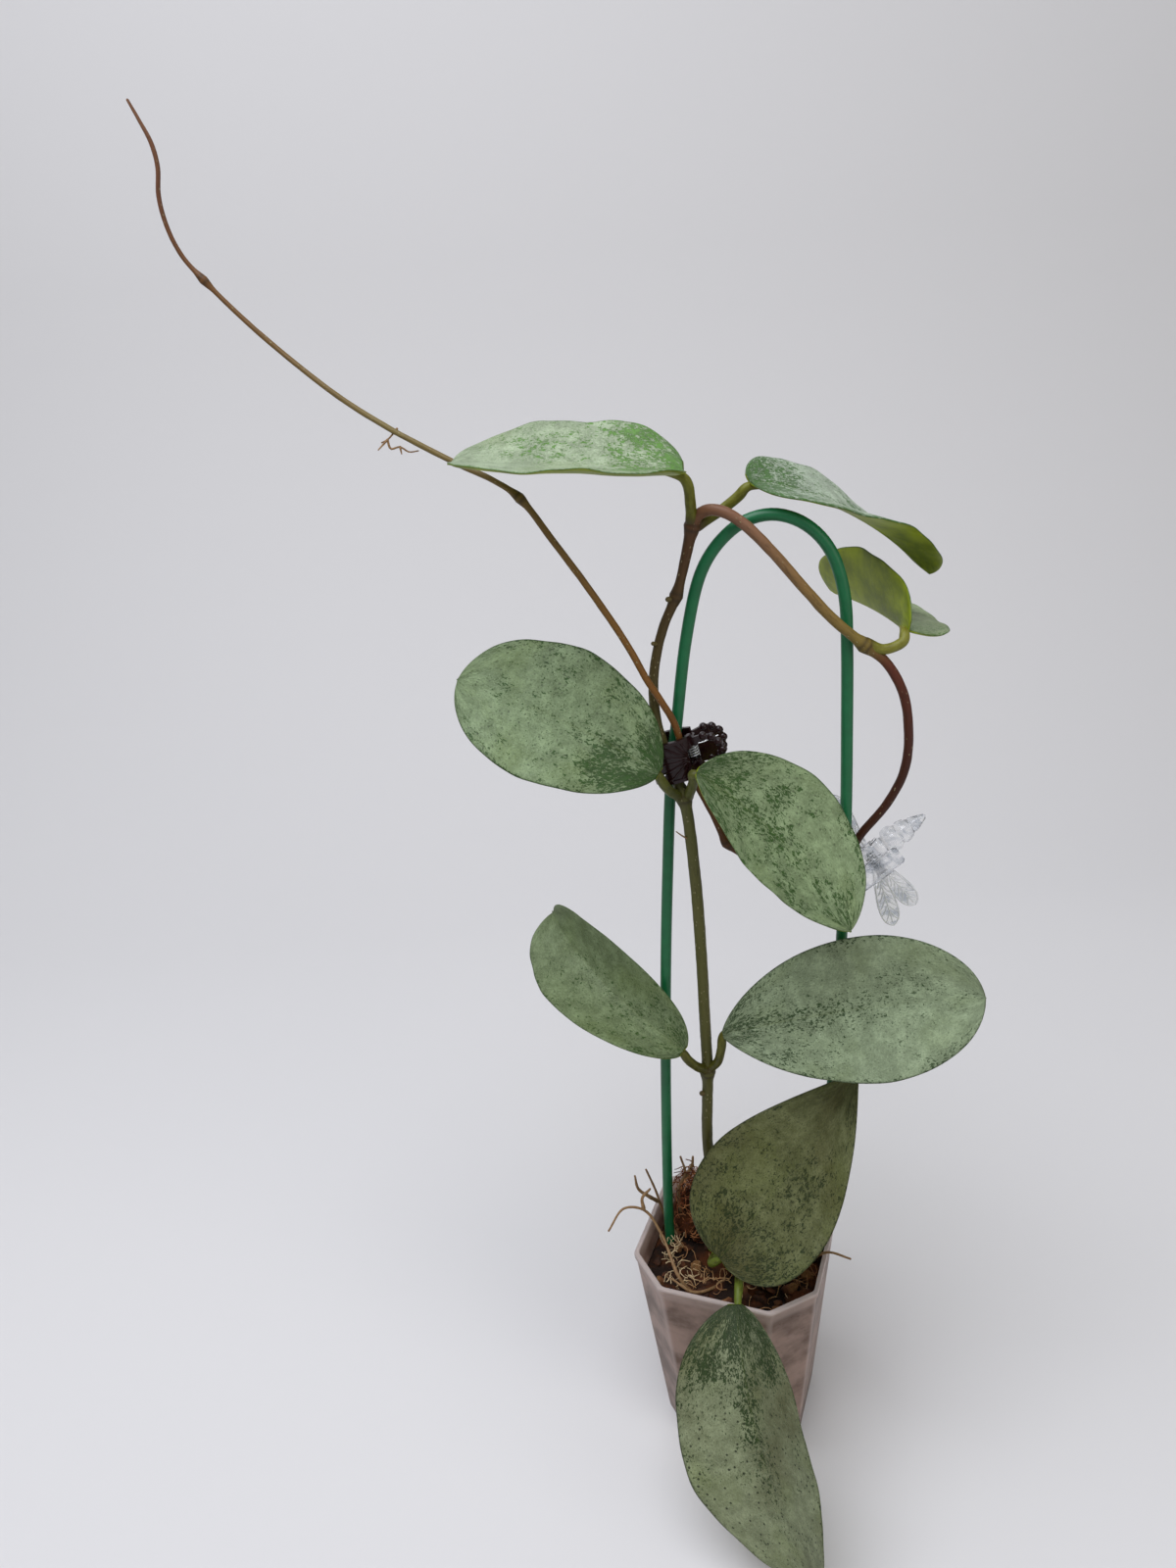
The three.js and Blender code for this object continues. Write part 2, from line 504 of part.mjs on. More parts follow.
// The blade: two faces split into triangles alike, joined round the margin
function makeBlade(leaf) {
  const shares = [];
  for (let i = 0; i <= BLADE_ROWS; i += 1) {
    shares.push((1 - Math.cos((Math.PI * i) / BLADE_ROWS)) / 2);
  }
  const frames = midribFrames(leaf, shares);
  const width = BLADE_COLUMNS + 1;
  const points = [];
  for (const face of [1, -1]) {
    for (const frame of frames) {
      for (let j = 0; j < width; j += 1) {
        const point = bladePoint(leaf, frame, (2 * j) / BLADE_COLUMNS - 1);
        points.push(...point.addScaledVector(frame.normal, (face * BLADE_THICKNESS) / 2).toArray());
      }
    }
  }
  const top = (i, j) => i * width + j;
  const under = (i, j) => (i + frames.length) * width + j;
  const triangles = [];
  for (let i = 0; i < BLADE_ROWS; i += 1) {
    for (let j = 0; j < BLADE_COLUMNS; j += 1) {
      triangles.push(top(i, j), top(i + 1, j), top(i + 1, j + 1));
      triangles.push(top(i, j), top(i + 1, j + 1), top(i, j + 1));
      triangles.push(under(i, j), under(i + 1, j + 1), under(i + 1, j));
      triangles.push(under(i, j), under(i, j + 1), under(i + 1, j + 1));
    }
    const last = BLADE_COLUMNS;
    triangles.push(top(i, 0), under(i, 0), under(i + 1, 0));
    triangles.push(top(i, 0), under(i + 1, 0), top(i + 1, 0));
    triangles.push(top(i, last), under(i + 1, last), under(i, last));
    triangles.push(top(i, last), top(i + 1, last), under(i + 1, last));
  }
  const end = BLADE_ROWS;
  for (let j = 0; j < BLADE_COLUMNS; j += 1) {
    triangles.push(top(0, j), under(0, j + 1), under(0, j));
    triangles.push(top(0, j), top(0, j + 1), under(0, j + 1));
    triangles.push(top(end, j), under(end, j), under(end, j + 1));
    triangles.push(top(end, j), under(end, j + 1), top(end, j + 1));
  }
  const geometry = new THREE.BufferGeometry();
  geometry.setAttribute("position", new THREE.Float32BufferAttribute(points, 3));
  geometry.setIndex(triangles);
  return solidOf(geometry);
}

// The stalk runs from the stem to the blade's base, and a little way along the midrib
function makeLeaf(leaf, stem) {
  const [start, near] = midribFrames(leaf, [0, PETIOLE_END_SHARE]);
  const under = near.at.clone().addScaledVector(near.normal, -BLADE_THICKNESS / 2);
  const foot = start.at.clone().addScaledVector(start.normal, -PETIOLE_DROP);
  const route = [...leaf.petiole, foot.toArray(), under.toArray()];
  const thinning = (share) => Math.max(share - PETIOLE_THIN_FROM, 0) / (1 - PETIOLE_THIN_FROM);
  const radius = (share) => PETIOLE_RADIUS * (1 - PETIOLE_THINNING * thinning(share));
  const stalk = tube(route, radius, PETIOLE_SIDES, 2 * route.length);
  const whole = makeBlade(leaf).add(stalk).subtract(stem);
  return whole.decompose().sort((a, b) => b.volume() - a.volume())[0];
}

// Clip plates: a bent strip of even thickness, drawn in x and y and as tall as z0 to z1
function strip(middle, thickness, z0, z1) {
  const points = middle.map(([x, y]) => new THREE.Vector2(x, y));
  const sideOf = (sign) =>
    points.map((point, i) => {
      const before = points[Math.max(i - 1, 0)];
      const after = points[Math.min(i + 1, points.length - 1)];
      const along = after.clone().sub(before).normalize();
      return point.clone().add(new THREE.Vector2(-along.y, along.x).multiplyScalar((sign * thickness) / 2));
    });
  const outline = [...sideOf(1), ...sideOf(-1).reverse()];
  const geometry = new THREE.ExtrudeGeometry(new THREE.Shape(outline), {
    depth: z1 - z0,
    bevelEnabled: false,
  });
  return solidOf(geometry.translate(0, 0, z0));
}

// A finger tab with a scalloped edge, standing on the hinge and leaning to one side
function clawTab(side, opening) {
  const centre = CLAW_TAB_LENGTH - CLAW_TAB_RADIUS;
  let tab = box(0, centre, -CLAW_PLATE / 2, CLAW_PLATE / 2, -CLAW_TAB_RADIUS, CLAW_TAB_RADIUS);
  const disc = new THREE.CylinderGeometry(CLAW_TAB_RADIUS, CLAW_TAB_RADIUS, CLAW_PLATE, 16);
  tab = tab.add(solidOf(disc.translate(centre, 0, 0)));
  for (let i = 0; i < CLAW_SCALLOPS; i += 1) {
    const angle = (i / (CLAW_SCALLOPS - 1) - 0.5) * Math.PI;
    const radius = CLAW_SCALLOP_RADIUS;
    const lobe = new THREE.CylinderGeometry(radius, radius, CLAW_SCALLOP_DEPTH, 8);
    lobe.translate(centre + CLAW_TAB_RADIUS * Math.cos(angle), 0, CLAW_TAB_RADIUS * Math.sin(angle));
    tab = tab.add(solidOf(lobe));
  }
  if (opening) {
    const end = CLAW_TAB_LENGTH - CLAW_WINDOW_END;
    const high = CLAW_WINDOW_HALF_HEIGHT;
    tab = tab.subtract(box(CLAW_WINDOW_START, end, -2, 2, -high, high));
  }
  const spread = (side * CLAW_TAB_SPREAD) / DEGREE;
  return tab.rotate([0, 0, spread]).translate([CLAW_TAB_SHIFT, side * CLAW_TAB_ROOT, 0]);
}

function clawHalf(side, jaw, earHeight) {
  let half = strip(jaw, CLAW_PLATE, -CLAW_HALF_HEIGHT, CLAW_HALF_HEIGHT);
  for (let i = 0; i < CLAW_RIBS; i += 1) {
    const z = CLAW_RIB_REACH * ((2 * i) / (CLAW_RIBS - 1) - 1);
    const raised = jaw.slice(1).map(([x, y]) => [x, y + side * CLAW_RIB_HEIGHT]);
    half = half.add(strip(raised, CLAW_PLATE, z - CLAW_RIB_HALF, z + CLAW_RIB_HALF));
  }
  const pitch = (2 * CLAW_HALF_HEIGHT) / CLAW_TEETH;
  for (let i = 1; i < CLAW_TEETH; i += 1) {
    const z = -CLAW_HALF_HEIGHT + pitch * i;
    const gap = box(-15, CLAW_TOOTH_START, -9, 9, z - CLAW_TOOTH_GAP / 2, z + CLAW_TOOTH_GAP / 2);
    half = half.subtract(gap);
  }
  half = half.add(clawTab(side, side < 0));
  if (side < 0) {
    const [x0, x1] = CLAW_SPRING_WINDOW;
    const high = CLAW_SPRING_WINDOW_HALF_HEIGHT;
    half = half.subtract(box(x0, x1, -8, 0, -high, high));
  }
  for (const end of [-1, 1]) {
    const z0 = end * earHeight - CLAW_EAR_THICKNESS / 2;
    const z1 = end * earHeight + CLAW_EAR_THICKNESS / 2;
    const reach = side * (CLAW_TAB_ROOT + CLAW_EAR_SINK);
    const [x0, x1] = CLAW_EAR_NECK;
    half = half.add(rod(CLAW_EAR_RADIUS, z0, z1));
    half = half.add(box(x0, x1, Math.min(0, reach), Math.max(0, reach), z0, z1));
  }
  return half.subtract(rod(CLAW_BORE_RADIUS, -9, 9));
}

function clawSpring() {
  const inner = CLAW_BORE_RADIUS;
  const coil = new THREE.LatheGeometry(
    [
      [inner, -CLAW_COIL_HALF_LENGTH], [CLAW_COIL_RADIUS, -CLAW_COIL_HALF_LENGTH],
      [CLAW_COIL_RADIUS, CLAW_COIL_HALF_LENGTH], [inner, CLAW_COIL_HALF_LENGTH],
      [inner, -CLAW_COIL_HALF_LENGTH],
    ].map(([x, y]) => new THREE.Vector2(x, y)),
    14,
  );
  const leg = tube(CLAW_SPRING_LEG, () => CLAW_SPRING_WIRE, 6, 4);
  return solidOf(coil.rotateX(Math.PI / 2)).add(leg);
}

function makeClaw() {
  const plastic = material(0x1e0f12, 0.22);
  const steel = material(0xc9ccd0, 0.3, 1);
  const group = new THREE.Group();
  group.add(meshOf("claw_near_half", clawHalf(-1, CLAW_NEAR_JAW, CLAW_NEAR_EAR), plastic));
  group.add(meshOf("claw_far_half", clawHalf(1, CLAW_FAR_JAW, CLAW_FAR_EAR), plastic));
  const pinEnd = CLAW_NEAR_EAR + CLAW_EAR_THICKNESS / 2;
  group.add(meshOf("claw_pin", rod(CLAW_PIN_RADIUS, -pinEnd, pinEnd, 8), steel));
  group.add(meshOf("claw_spring", clawSpring(), steel));
  const across = new THREE.Vector3(1, HOOP_PLANE_SLOPE, 0).normalize();
  const up = new THREE.Vector3(0, 0, 1);
  const away = new THREE.Vector3().crossVectors(up, across);
  across.applyAxisAngle(away, -CLAW_TILT);
  up.applyAxisAngle(away, -CLAW_TILT);
  group.matrixAutoUpdate = false;
  group.matrix.makeBasis(across, away, up).setPosition(...CLAW_HINGE);
  return group;
}

// Dragonfly clip
function flyWing(length, angle, side) {
  const outline = new THREE.Shape();
  const half = FLY_WING_WIDTH / 2;
  outline.moveTo(0, 1);
  outline.bezierCurveTo(length * 0.5, half * 0.9, length * 0.97, half * 1.7, length, 0);
  outline.bezierCurveTo(length * 0.97, -half * 1.7, length * 0.5, -half * 0.9, 0, -1);
  const geometry = new THREE.ExtrudeGeometry(outline, {
    depth: FLY_WING_THICKNESS,
    bevelEnabled: false,
    curveSegments: 7,
  });
  geometry.rotateZ(side * (Math.PI / 2 - angle));
  geometry.translate(0, side * FLY_WING_ROOT, -FLY_FAR - FLY_WING_DROP);
  return solidOf(geometry);
}

function makeFlyBody() {
  const w = FLY_HALF_WIDTH;
  const back = -FLY_FAR - FLY_PLATE;
  const t = FLY_JAW_HALF_TIP;
  let body = box(-FLY_JAW_NECK, 4, -w, w, back, -FLY_FAR);
  body = body.add(box(-FLY_JAW_REACH, 0, -t, t, back, -FLY_FAR));
  body = body.add(box(-FLY_JAW_REACH, -FLY_JAW_REACH + FLY_TIP_HOOK, -t, t, back, -1));
  const reach = FLY_CHEEK_REACH;
  for (const side of [-1, 1]) {
    const y0 = Math.min(side * w, side * (w - FLY_CHEEK));
    body = body.add(box(-reach, reach, y0, y0 + FLY_CHEEK, back, reach));
    for (const [length, angle] of FLY_WINGS) body = body.add(flyWing(length, angle, side));
  }
  const thorax = new THREE.IcosahedronGeometry(1, 1).scale(...FLY_BODY_HALF_SIZE);
  thorax.translate(0, 0, back);
  const head = new THREE.IcosahedronGeometry(FLY_HEAD_RADIUS, 1).translate(FLY_HEAD_AT, 0, back);
  body = body.add(solidOf(thorax)).add(solidOf(head));
  const profile = FLY_TAIL_PROFILE.map(([r, along]) => new THREE.Vector2(r, along));
  const tail = new THREE.LatheGeometry(profile, 12).rotateZ(-Math.PI / 2);
  body = body.add(solidOf(tail.translate(FLY_TAIL_START, 0, back + 0.6)));
  return body.subtract(flyBore());
}

function flyBore() {
  const bore = new THREE.CylinderGeometry(FLY_BORE_RADIUS, FLY_BORE_RADIUS, 12, 10);
  return solidOf(bore);
}

function makeFlyJaw() {
  const w = FLY_HALF_WIDTH;
  const top = FLY_NEAR + FLY_PLATE;
  const inner = w - FLY_CHEEK - GAP;
  const t = FLY_JAW_HALF_TIP;
  let jaw = box(-FLY_JAW_NECK, 3, -w, w, FLY_NEAR, top);
  jaw = jaw.add(box(-FLY_JAW_REACH, 0, -t, t, FLY_NEAR, top));
  jaw = jaw.add(box(-FLY_JAW_REACH, -FLY_JAW_REACH + FLY_TIP_HOOK, -t, t, -0.6, top));
  jaw = jaw.add(box(2, FLY_LEVER_REACH, -w + 0.6, w - 0.6, FLY_NEAR, top));
  const reach = FLY_JAW_CHEEK_REACH;
  for (const side of [-1, 1]) {
    const y0 = Math.min(side * inner, side * (inner - FLY_JAW_CHEEK));
    jaw = jaw.add(box(-reach, reach, y0, y0 + FLY_JAW_CHEEK, -1.3, top));
  }
  return jaw.subtract(flyBore());
}

function makeFlySpring() {
  const half = FLY_HALF_WIDTH - FLY_CHEEK - 2 * GAP - FLY_JAW_CHEEK;
  const ring = new THREE.LatheGeometry(
    [
      [FLY_BORE_RADIUS, -half], [FLY_COIL_RADIUS, -half], [FLY_COIL_RADIUS, half],
      [FLY_BORE_RADIUS, half], [FLY_BORE_RADIUS, -half],
    ].map(([x, y]) => new THREE.Vector2(x, y)),
    12,
  );
  return solidOf(ring);
}

function makeFly() {
  const clear = material(0xe8ecee, 0.1, 0, { transparent: true, opacity: 0.4 });
  const steel = material(0xb9bcc0, 0.3, 1);
  const group = new THREE.Group();
  group.add(meshOf("dragonfly_body", makeFlyBody(), clear));
  group.add(meshOf("dragonfly_jaw", makeFlyJaw(), clear));
  const pin = new THREE.CylinderGeometry(FLY_PIN_RADIUS, FLY_PIN_RADIUS, 2 * FLY_HALF_WIDTH, 8);
  group.add(meshOf("dragonfly_pin", solidOf(pin), steel));
  group.add(meshOf("dragonfly_spring", makeFlySpring(), steel));
  const tail = new THREE.Vector3(Math.cos(FLY_PITCH), 0, Math.sin(FLY_PITCH));
  const out = new THREE.Vector3(0, -1, 0);
  const side = new THREE.Vector3().crossVectors(out, tail);
  group.matrixAutoUpdate = false;
  group.matrix.makeBasis(tail, side, out).setPosition(...FLY_HINGE);
  return group;
}

const plant = new THREE.Group();
const vineCutter = makeVine(GAP);
plant.add(meshOf("pot", makePot(), material(0xd9c4b6, 0.45, 0, { transparent: true, opacity: 0.6 })));
plant.add(meshOf("soil", makeSoil([vineCutter, makeHoop(GAP)]), material(0x4a2a18, 0.95)));
plant.add(meshOf("hoop", makeHoop(), material(0x1f7a55, 0.4)));
plant.add(meshOf("vine", makeVine(), material(0x6b5a33, 0.7)));
for (const leaf of LEAVES) {
  plant.add(meshOf(leaf.name, makeLeaf(leaf, vineCutter), material(0x8aa585, 0.6)));
}
plant.add(makeClaw());
plant.add(makeFly());

export default plant;
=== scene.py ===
"""Potted grey ghost hoya on a wire hoop, with its claw clip and its clear dragonfly clip."""

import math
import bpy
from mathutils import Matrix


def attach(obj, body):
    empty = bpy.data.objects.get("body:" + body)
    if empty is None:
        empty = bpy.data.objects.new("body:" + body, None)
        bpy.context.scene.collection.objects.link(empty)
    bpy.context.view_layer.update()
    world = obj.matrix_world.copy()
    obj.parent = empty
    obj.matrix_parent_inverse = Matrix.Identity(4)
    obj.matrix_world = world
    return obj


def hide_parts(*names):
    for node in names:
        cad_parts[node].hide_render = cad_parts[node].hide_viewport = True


bl_info = {
    "name": "Potted grey ghost hoya",
    "version": (1, 0, 0),
    "blender": (4, 5, 0),
    "location": "3D View > Sidebar > Hoya",
    "description": "Builds the potted hoya vine, its hoop and its clips around the fixed frame",
    "category": "Object",
}

import bmesh
import bpy
from mathutils import Matrix, Vector, noise

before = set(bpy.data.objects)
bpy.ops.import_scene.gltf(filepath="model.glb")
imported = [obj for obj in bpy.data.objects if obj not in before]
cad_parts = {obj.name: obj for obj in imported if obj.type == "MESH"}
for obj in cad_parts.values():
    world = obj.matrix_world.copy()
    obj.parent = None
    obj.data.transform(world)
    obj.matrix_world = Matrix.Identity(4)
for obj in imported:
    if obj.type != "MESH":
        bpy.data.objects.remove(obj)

MM = 0.001
DEGREE = math.pi / 180

# All shapes are in millimetres until their mesh is made, and all turns here are in radians.

# Pot: a square with cut corners, narrower at the foot
POT_HEIGHT = 72
POT_HALF_WIDTH = 30
POT_CORNER = 17.2
POT_FOOT_SCALE = 0.76
POT_TURN = -22.2 * DEGREE
POT_WALL = 1.1
POT_FLOOR = 1.4
# Drain slots: length, width, and how far out they lie
POT_SLOT = (9, 2.6, 14)
# The pot's outer foot and its inner floor edge as (height, inset)
POT_FOOT = [(0, 0.7), (0.12, 0.3), (0.45, 0.05), (1, 0)]
POT_FLOOR_EDGE = [(1.8, POT_WALL + 0.25), (POT_FLOOR, POT_WALL + 1)]
# Rim: (height, how much of the lip's reach stands out) outside, and (height, share of the wall) inside
POT_RIM_OUTSIDE = [(69.8, 0.75), (70.1, 1), (71.3, 1), (71.75, 0.8), (72, 0.3)]
POT_RIM_INSIDE = [(72, 0.6), (71.85, 0.95), (71.5, 1)]

# Substrate: its surface, its gap to the pot, the fibrous lumps and the tufts as (centre, radii)
SOIL_TOP = 64.5
SOIL_GAP = POT_WALL + 0.3
SOIL_LUMPS = [
    ((-12, 12, 67), (7.6, 7.6, 11.4)), ((-9, 15, 76), (5.2, 5.2, 7.8)),
    ((-15, 14, 72), (4.7, 4.7, 6.6)), ((-7, 12, 84), (3, 3, 4.9)),
]
COIR_CLUMPS = [((-12, 12, 76), (5.4, 5.4, 10)), ((-15, 9, 84), (3.4, 3.4, 8)), ((-13, 6, 73), (5, 4, 5))]
TAN_TUFTS = [
    ((-17, -12, 65.5), (5, 4, 2.2)), ((-9, -15, 66), (4.6, 3, 2)), ((19, -12, 65.5), (4, 3, 1.8)),
    ((-21, 2, 67), (2.4, 4, 2.6)), ((8, -17, 65.4), (4, 2.4, 1.4)),
]
# How much denser the fibres lie on the clumps and tufts than on the surface
COIR_DENSITY = 4.5
TUFT_DENSITY = 2.6
# Smallest and largest item, as shares of the item drawn
CHIP_SIZES = ((0.8, 1.1, 0.5), (2.9, 2.2, 1.3))
FIBRE_SIZES = ((0.5, 0.5, 0.5), (1.2, 1.2, 0.9))

# Wire hoop: its route as (x, z), and the upright plane that it stands in, as a point (x, y) and a slope
HOOP_ROUTE = [
    (-19.5, 18), (-21.2, 45), (-22, 70), (-20.6, 122), (-18.4, 170), (-16.1, 206), (-13.7, 236),
    (-11.2, 254), (-8, 275.5), (-4.2, 291.7), (-1.4, 297.8), (2.5, 302.8), (7.4, 306.6), (12.6, 308.3),
    (17.3, 308.2), (22.5, 306.2), (27.1, 302.4), (30.5, 297.3), (32.7, 290.8), (33.9, 283.9),
    (34.4, 272), (34.6, 250), (34.6, 222), (33.8, 184), (32.2, 146), (29.8, 108), (26.4, 70),
    (23.4, 42), (20.4, 18),
]
HOOP_PLANE = (-22.1, 6.4, -0.145)

# Vine: the stem's route from inside the pot to the growing tip
VINE_ROUTE = [
    (-1.5, -6, 14), (-2, -6, 45), (-2.6, -5, 70), (-5.4, -1.2, 86), (-8.2, 0.7, 107),
    (-7.3, 1.2, 137.5), (-7.5, 1, 158.4), (-7.7, 0.8, 177.8), (-8.5, 0.5, 204.5),
    (-10.7, 0.6, 231.2), (-12.7, 1.1, 237.3), (-15, 1.7, 244.7), (-17, 2.4, 253.2),
    (-17.5, 3.5, 261.4), (-16.7, 4.2, 269.5), (-13.8, 4.2, 280.2), (-10, 3.7, 288.6),
    (-7.3, 3.2, 297.9), (-5.6, 3, 304.7), (-4.4, 2.4, 308.6), (-1.7, 1, 310.7),
    (1.8, -0.7, 310.7), (7, -2.3, 307.6), (14.8, -4, 299.3), (22.7, -4.9, 289.5),
    (29.7, -5.9, 281.3), (37.8, -6.3, 273.9), (43.7, -6.2, 268.6), (48.6, -5.5, 259.7),
    (50.9, -4.2, 248.2), (50.6, -2.7, 236), (46.5, -0.7, 225.1), (39.5, 1, 215), (36.7, 1.9, 208.8),
    (35.8, 2.1, 205.6), (34, 2.3, 203), (30.8, 2.5, 201.9), (26.4, 2.7, 202.4), (20, 2.9, 203.6),
    (13, 2.9, 206), (7, 2.5, 210.2), (1.5, 2, 215.5), (-2.7, 1.8, 225.3), (-6.5, 1.6, 233.9),
    (-8.7, 1.5, 239.5), (-10.6, 1.2, 246.5), (-12.4, 1, 253.7), (-15.6, -0.5, 260.5),
    (-19.2, -0.8, 267.1), (-24, -0.4, 277.3), (-33.2, 2, 293), (-41.2, 4.1, 305.3),
    (-49.1, 6.3, 316.9), (-55.5, 8.2, 321.6), (-63.7, 11.4, 325.6), (-73.5, 14.9, 330.9),
    (-82.2, 18.2, 335.9), (-93.4, 22.8, 343.3), (-105.5, 27.6, 353.2), (-117.3, 31.3, 364.4),
    (-126.9, 33.7, 375.1), (-131.2, 34.4, 380.8), (-133.7, 34.7, 387.6), (-134.4, 34.8, 395.2),
    (-133.2, 34.7, 401.6), (-133.7, 34.8, 407), (-135.8, 35, 412.6), (-137.6, 35.3, 416.8),
]
# Stem radius at shares of the whole length
VINE_TAPER = [
    (0, 1.75), (0.26, 1.72), (0.3, 1.65), (0.33, 1.45), (0.36, 1.3), (0.385, 1.3), (0.4, 1.55),
    (0.42, 1.5), (0.44, 1.4), (0.475, 1.42), (0.5, 1.32), (0.56, 1.25), (0.66, 1), (0.72, 0.96),
    (0.79, 0.92), (0.81, 0.76), (0.87, 0.76), (0.92, 0.68), (0.95, 0.6), (0.985, 0.58), (1, 0.35),
]
# Bark colour at points of the route, darker at the stem's foot by the pot as painted shade
VINE_COLOURS = [
    (0, "#2A2608"), (3, "#39350F"), (5, "#4C4B20"), (8, "#535228"), (9, "#525228"), (12, "#4A4422"),
    (15, "#46381B"), (18, "#4E331C"), (20, "#68462F"), (22, "#785641"), (24, "#7A5F35"),
    (26, "#70602A"), (27, "#5A2A1A"), (30, "#3A1A0B"), (35, "#381C0B"), (40, "#472810"),
    (44, "#65401A"), (48, "#734C1D"), (52, "#6A562B"), (56, "#6E6036"), (60, "#664524"),
    (63, "#66422E"), (67, "#704E36"),
]
# Swollen nodes as (x, y, z, radius)
VINE_NODES = [
    (-2.6, -5, 71, 2.5), (-7.3, 1.2, 137.5, 2.6), (-10.7, 0.6, 231.2, 2.6), (-10, 3.7, 288.6, 1.9),
    (-4.9, 2.8, 307, 2.3), (37.8, -6.3, 273.9, 2.2), (1.5, 2, 215.5, 2), (-49.1, 6.3, 316.9, 1.45),
    (-126.9, 33.7, 375.1, 1.2),
]
# Stubs as (x, y, z, radius), with the point on the stem each grows from
VINE_STUBS = [
    ((-9.5, 0.1, 129.7, 1), (-7.6, 1.1, 129)), ((-12.3, 2.7, 288, 0.9), (-10.1, 3.8, 287.6)),
    ((-16.9, 3, 276.2, 0.7), (-15.2, 4.2, 275.5)),
]
# Routes of the aerial rootlets and of the roots at the pot's surface
ROOTLETS = [
    [(-9.6, 0.2, 218.4), (-11.6, -1.2, 220.2), (-13.6, -1.8, 222.2)],
    [(-79.7, 18.2, 335.3), (-82.5, 17.9, 332.8), (-84.1, 17.7, 332.2)],
    [(-82.5, 17.9, 332.8), (-81.9, 17.4, 330.5), (-79.4, 17.2, 330.8), (-77.2, 16.9, 329.4),
     (-74.7, 16.7, 329.5)],
    [(-79.4, 17.2, 330.8), (-79.1, 16.4, 329.1)],
    [(-82.5, 17.9, 332.8), (-85, 16.2, 330.6)],
]
SOIL_ROOTS = [
    [(-1.8, -6, 58), (-14, 2, 61), (-22.5, 13.6, 68), (-25.6, 15.4, 79), (-28.3, 15.4, 88)],
    [(-25, 12, 77), (-28, 9, 82), (-31.5, 8, 86.5), (-32.4, 7, 93)],
    [(-30.4, 1, 84.4), (-30.6, 2, 88), (-27.8, 3, 90.6)],
    [(-17, 10, 70), (-18, 9, 84), (-15.6, 8, 92), (-16.8, 8, 98.6)],
    [(-16, 9, 88), (-13, 10, 93), (-12.6, 9.4, 97)],
    [(-1.8, -6, 56), (-14, -14, 60), (-20.4, -14, 67.5), (-25, -3, 76), (-30, 1, 83.5), (-37, 0, 86),
     (-42.5, -3, 80)],
    [(-1.8, -6, 60), (-8, -14, 64), (-17, -19.4, 67.6), (-23.6, -16.4, 71)],
    [(-1.8, -6, 57), (12, -7, 61), (21, -10.5, 67.4), (27.6, -14.6, 74.8), (33.8, -17.8, 74.6)],
]
# Radii at the thick and the thin end
ROOTLET_RADII = (0.32, 0.16)
SOIL_ROOT_RADII = (0.75, 0.35)


def table(columns, rows):
    """Rows by name, each as a dictionary of its columns."""
    return {name: dict(zip(columns.split(), row)) for name, row in rows.items()}


# Each leaf's place: where the blade starts, the way its midrib sets out, how that rises and rolls in
# degrees, and the stalk's route from the stem
LEAF_PLACES = table("base heading rise roll petiole", {
    "leaf_a_front": (
        (-4.9, -32, 74.4), -92.7, -40, 24, [(-2.4, -6, 69), (-1.6, -16, 74.6), (-3.2, -26.5, 75.8)]),
    "leaf_a_upright": (
        (-8.2, -20.3, 81.8), 9.4, 48.4, 39.7, [(-2.8, -5, 72.5), (-8, -10.5, 74), (-10.4, -17.5, 77.2)]),
    "leaf_b_left": (
        (-15.2, -5.1, 149.9), 149.5, 30.7, -33.9, [(-7.4, 1, 138), (-10.4, -1.6, 141), (-13.6, -4, 145.8)]),
    "leaf_b_right": (
        (-2.6, -3.5, 153.5), -12.6, 20, 61.9, [(-7.3, 1.2, 138), (-4.4, -1.2, 142), (-3.2, -2.8, 148)]),
    "leaf_c_left": (
        (-18.1, -8, 242.9), 166, 34.3, -49.4, [(-11.6, 0.6, 231.8), (-14.6, -2.8, 235), (-16.8, -6, 239)]),
    "leaf_c_right": (
        (-7.8, -8.7, 242.6), 3.2, -39, 43.4, [(-9.8, 0.6, 231.4), (-9, -2.2, 234.8), (-8.4, -5.2, 238.8)]),
    "leaf_e_left": (
        (-7.2, -1, 321.2), 181.6, 9, -13.7, [(-5.2, 2.4, 307.8), (-5.6, 0.6, 313), (-6.2, -0.6, 317.8)]),
    "leaf_e_right": ((10, 3, 316.8), 21, -12, 24, [(-3.9, 3.7, 306.6), (2, 4.8, 309.4), (7.2, 3.9, 313.2)]),
    "leaf_f_back": (
        (50, -5, 276.5), 88.6, -2.3, 58.4, [(38.2, -6, 274.2), (43, -6.8, 272.4), (48, -6.4, 274)]),
})
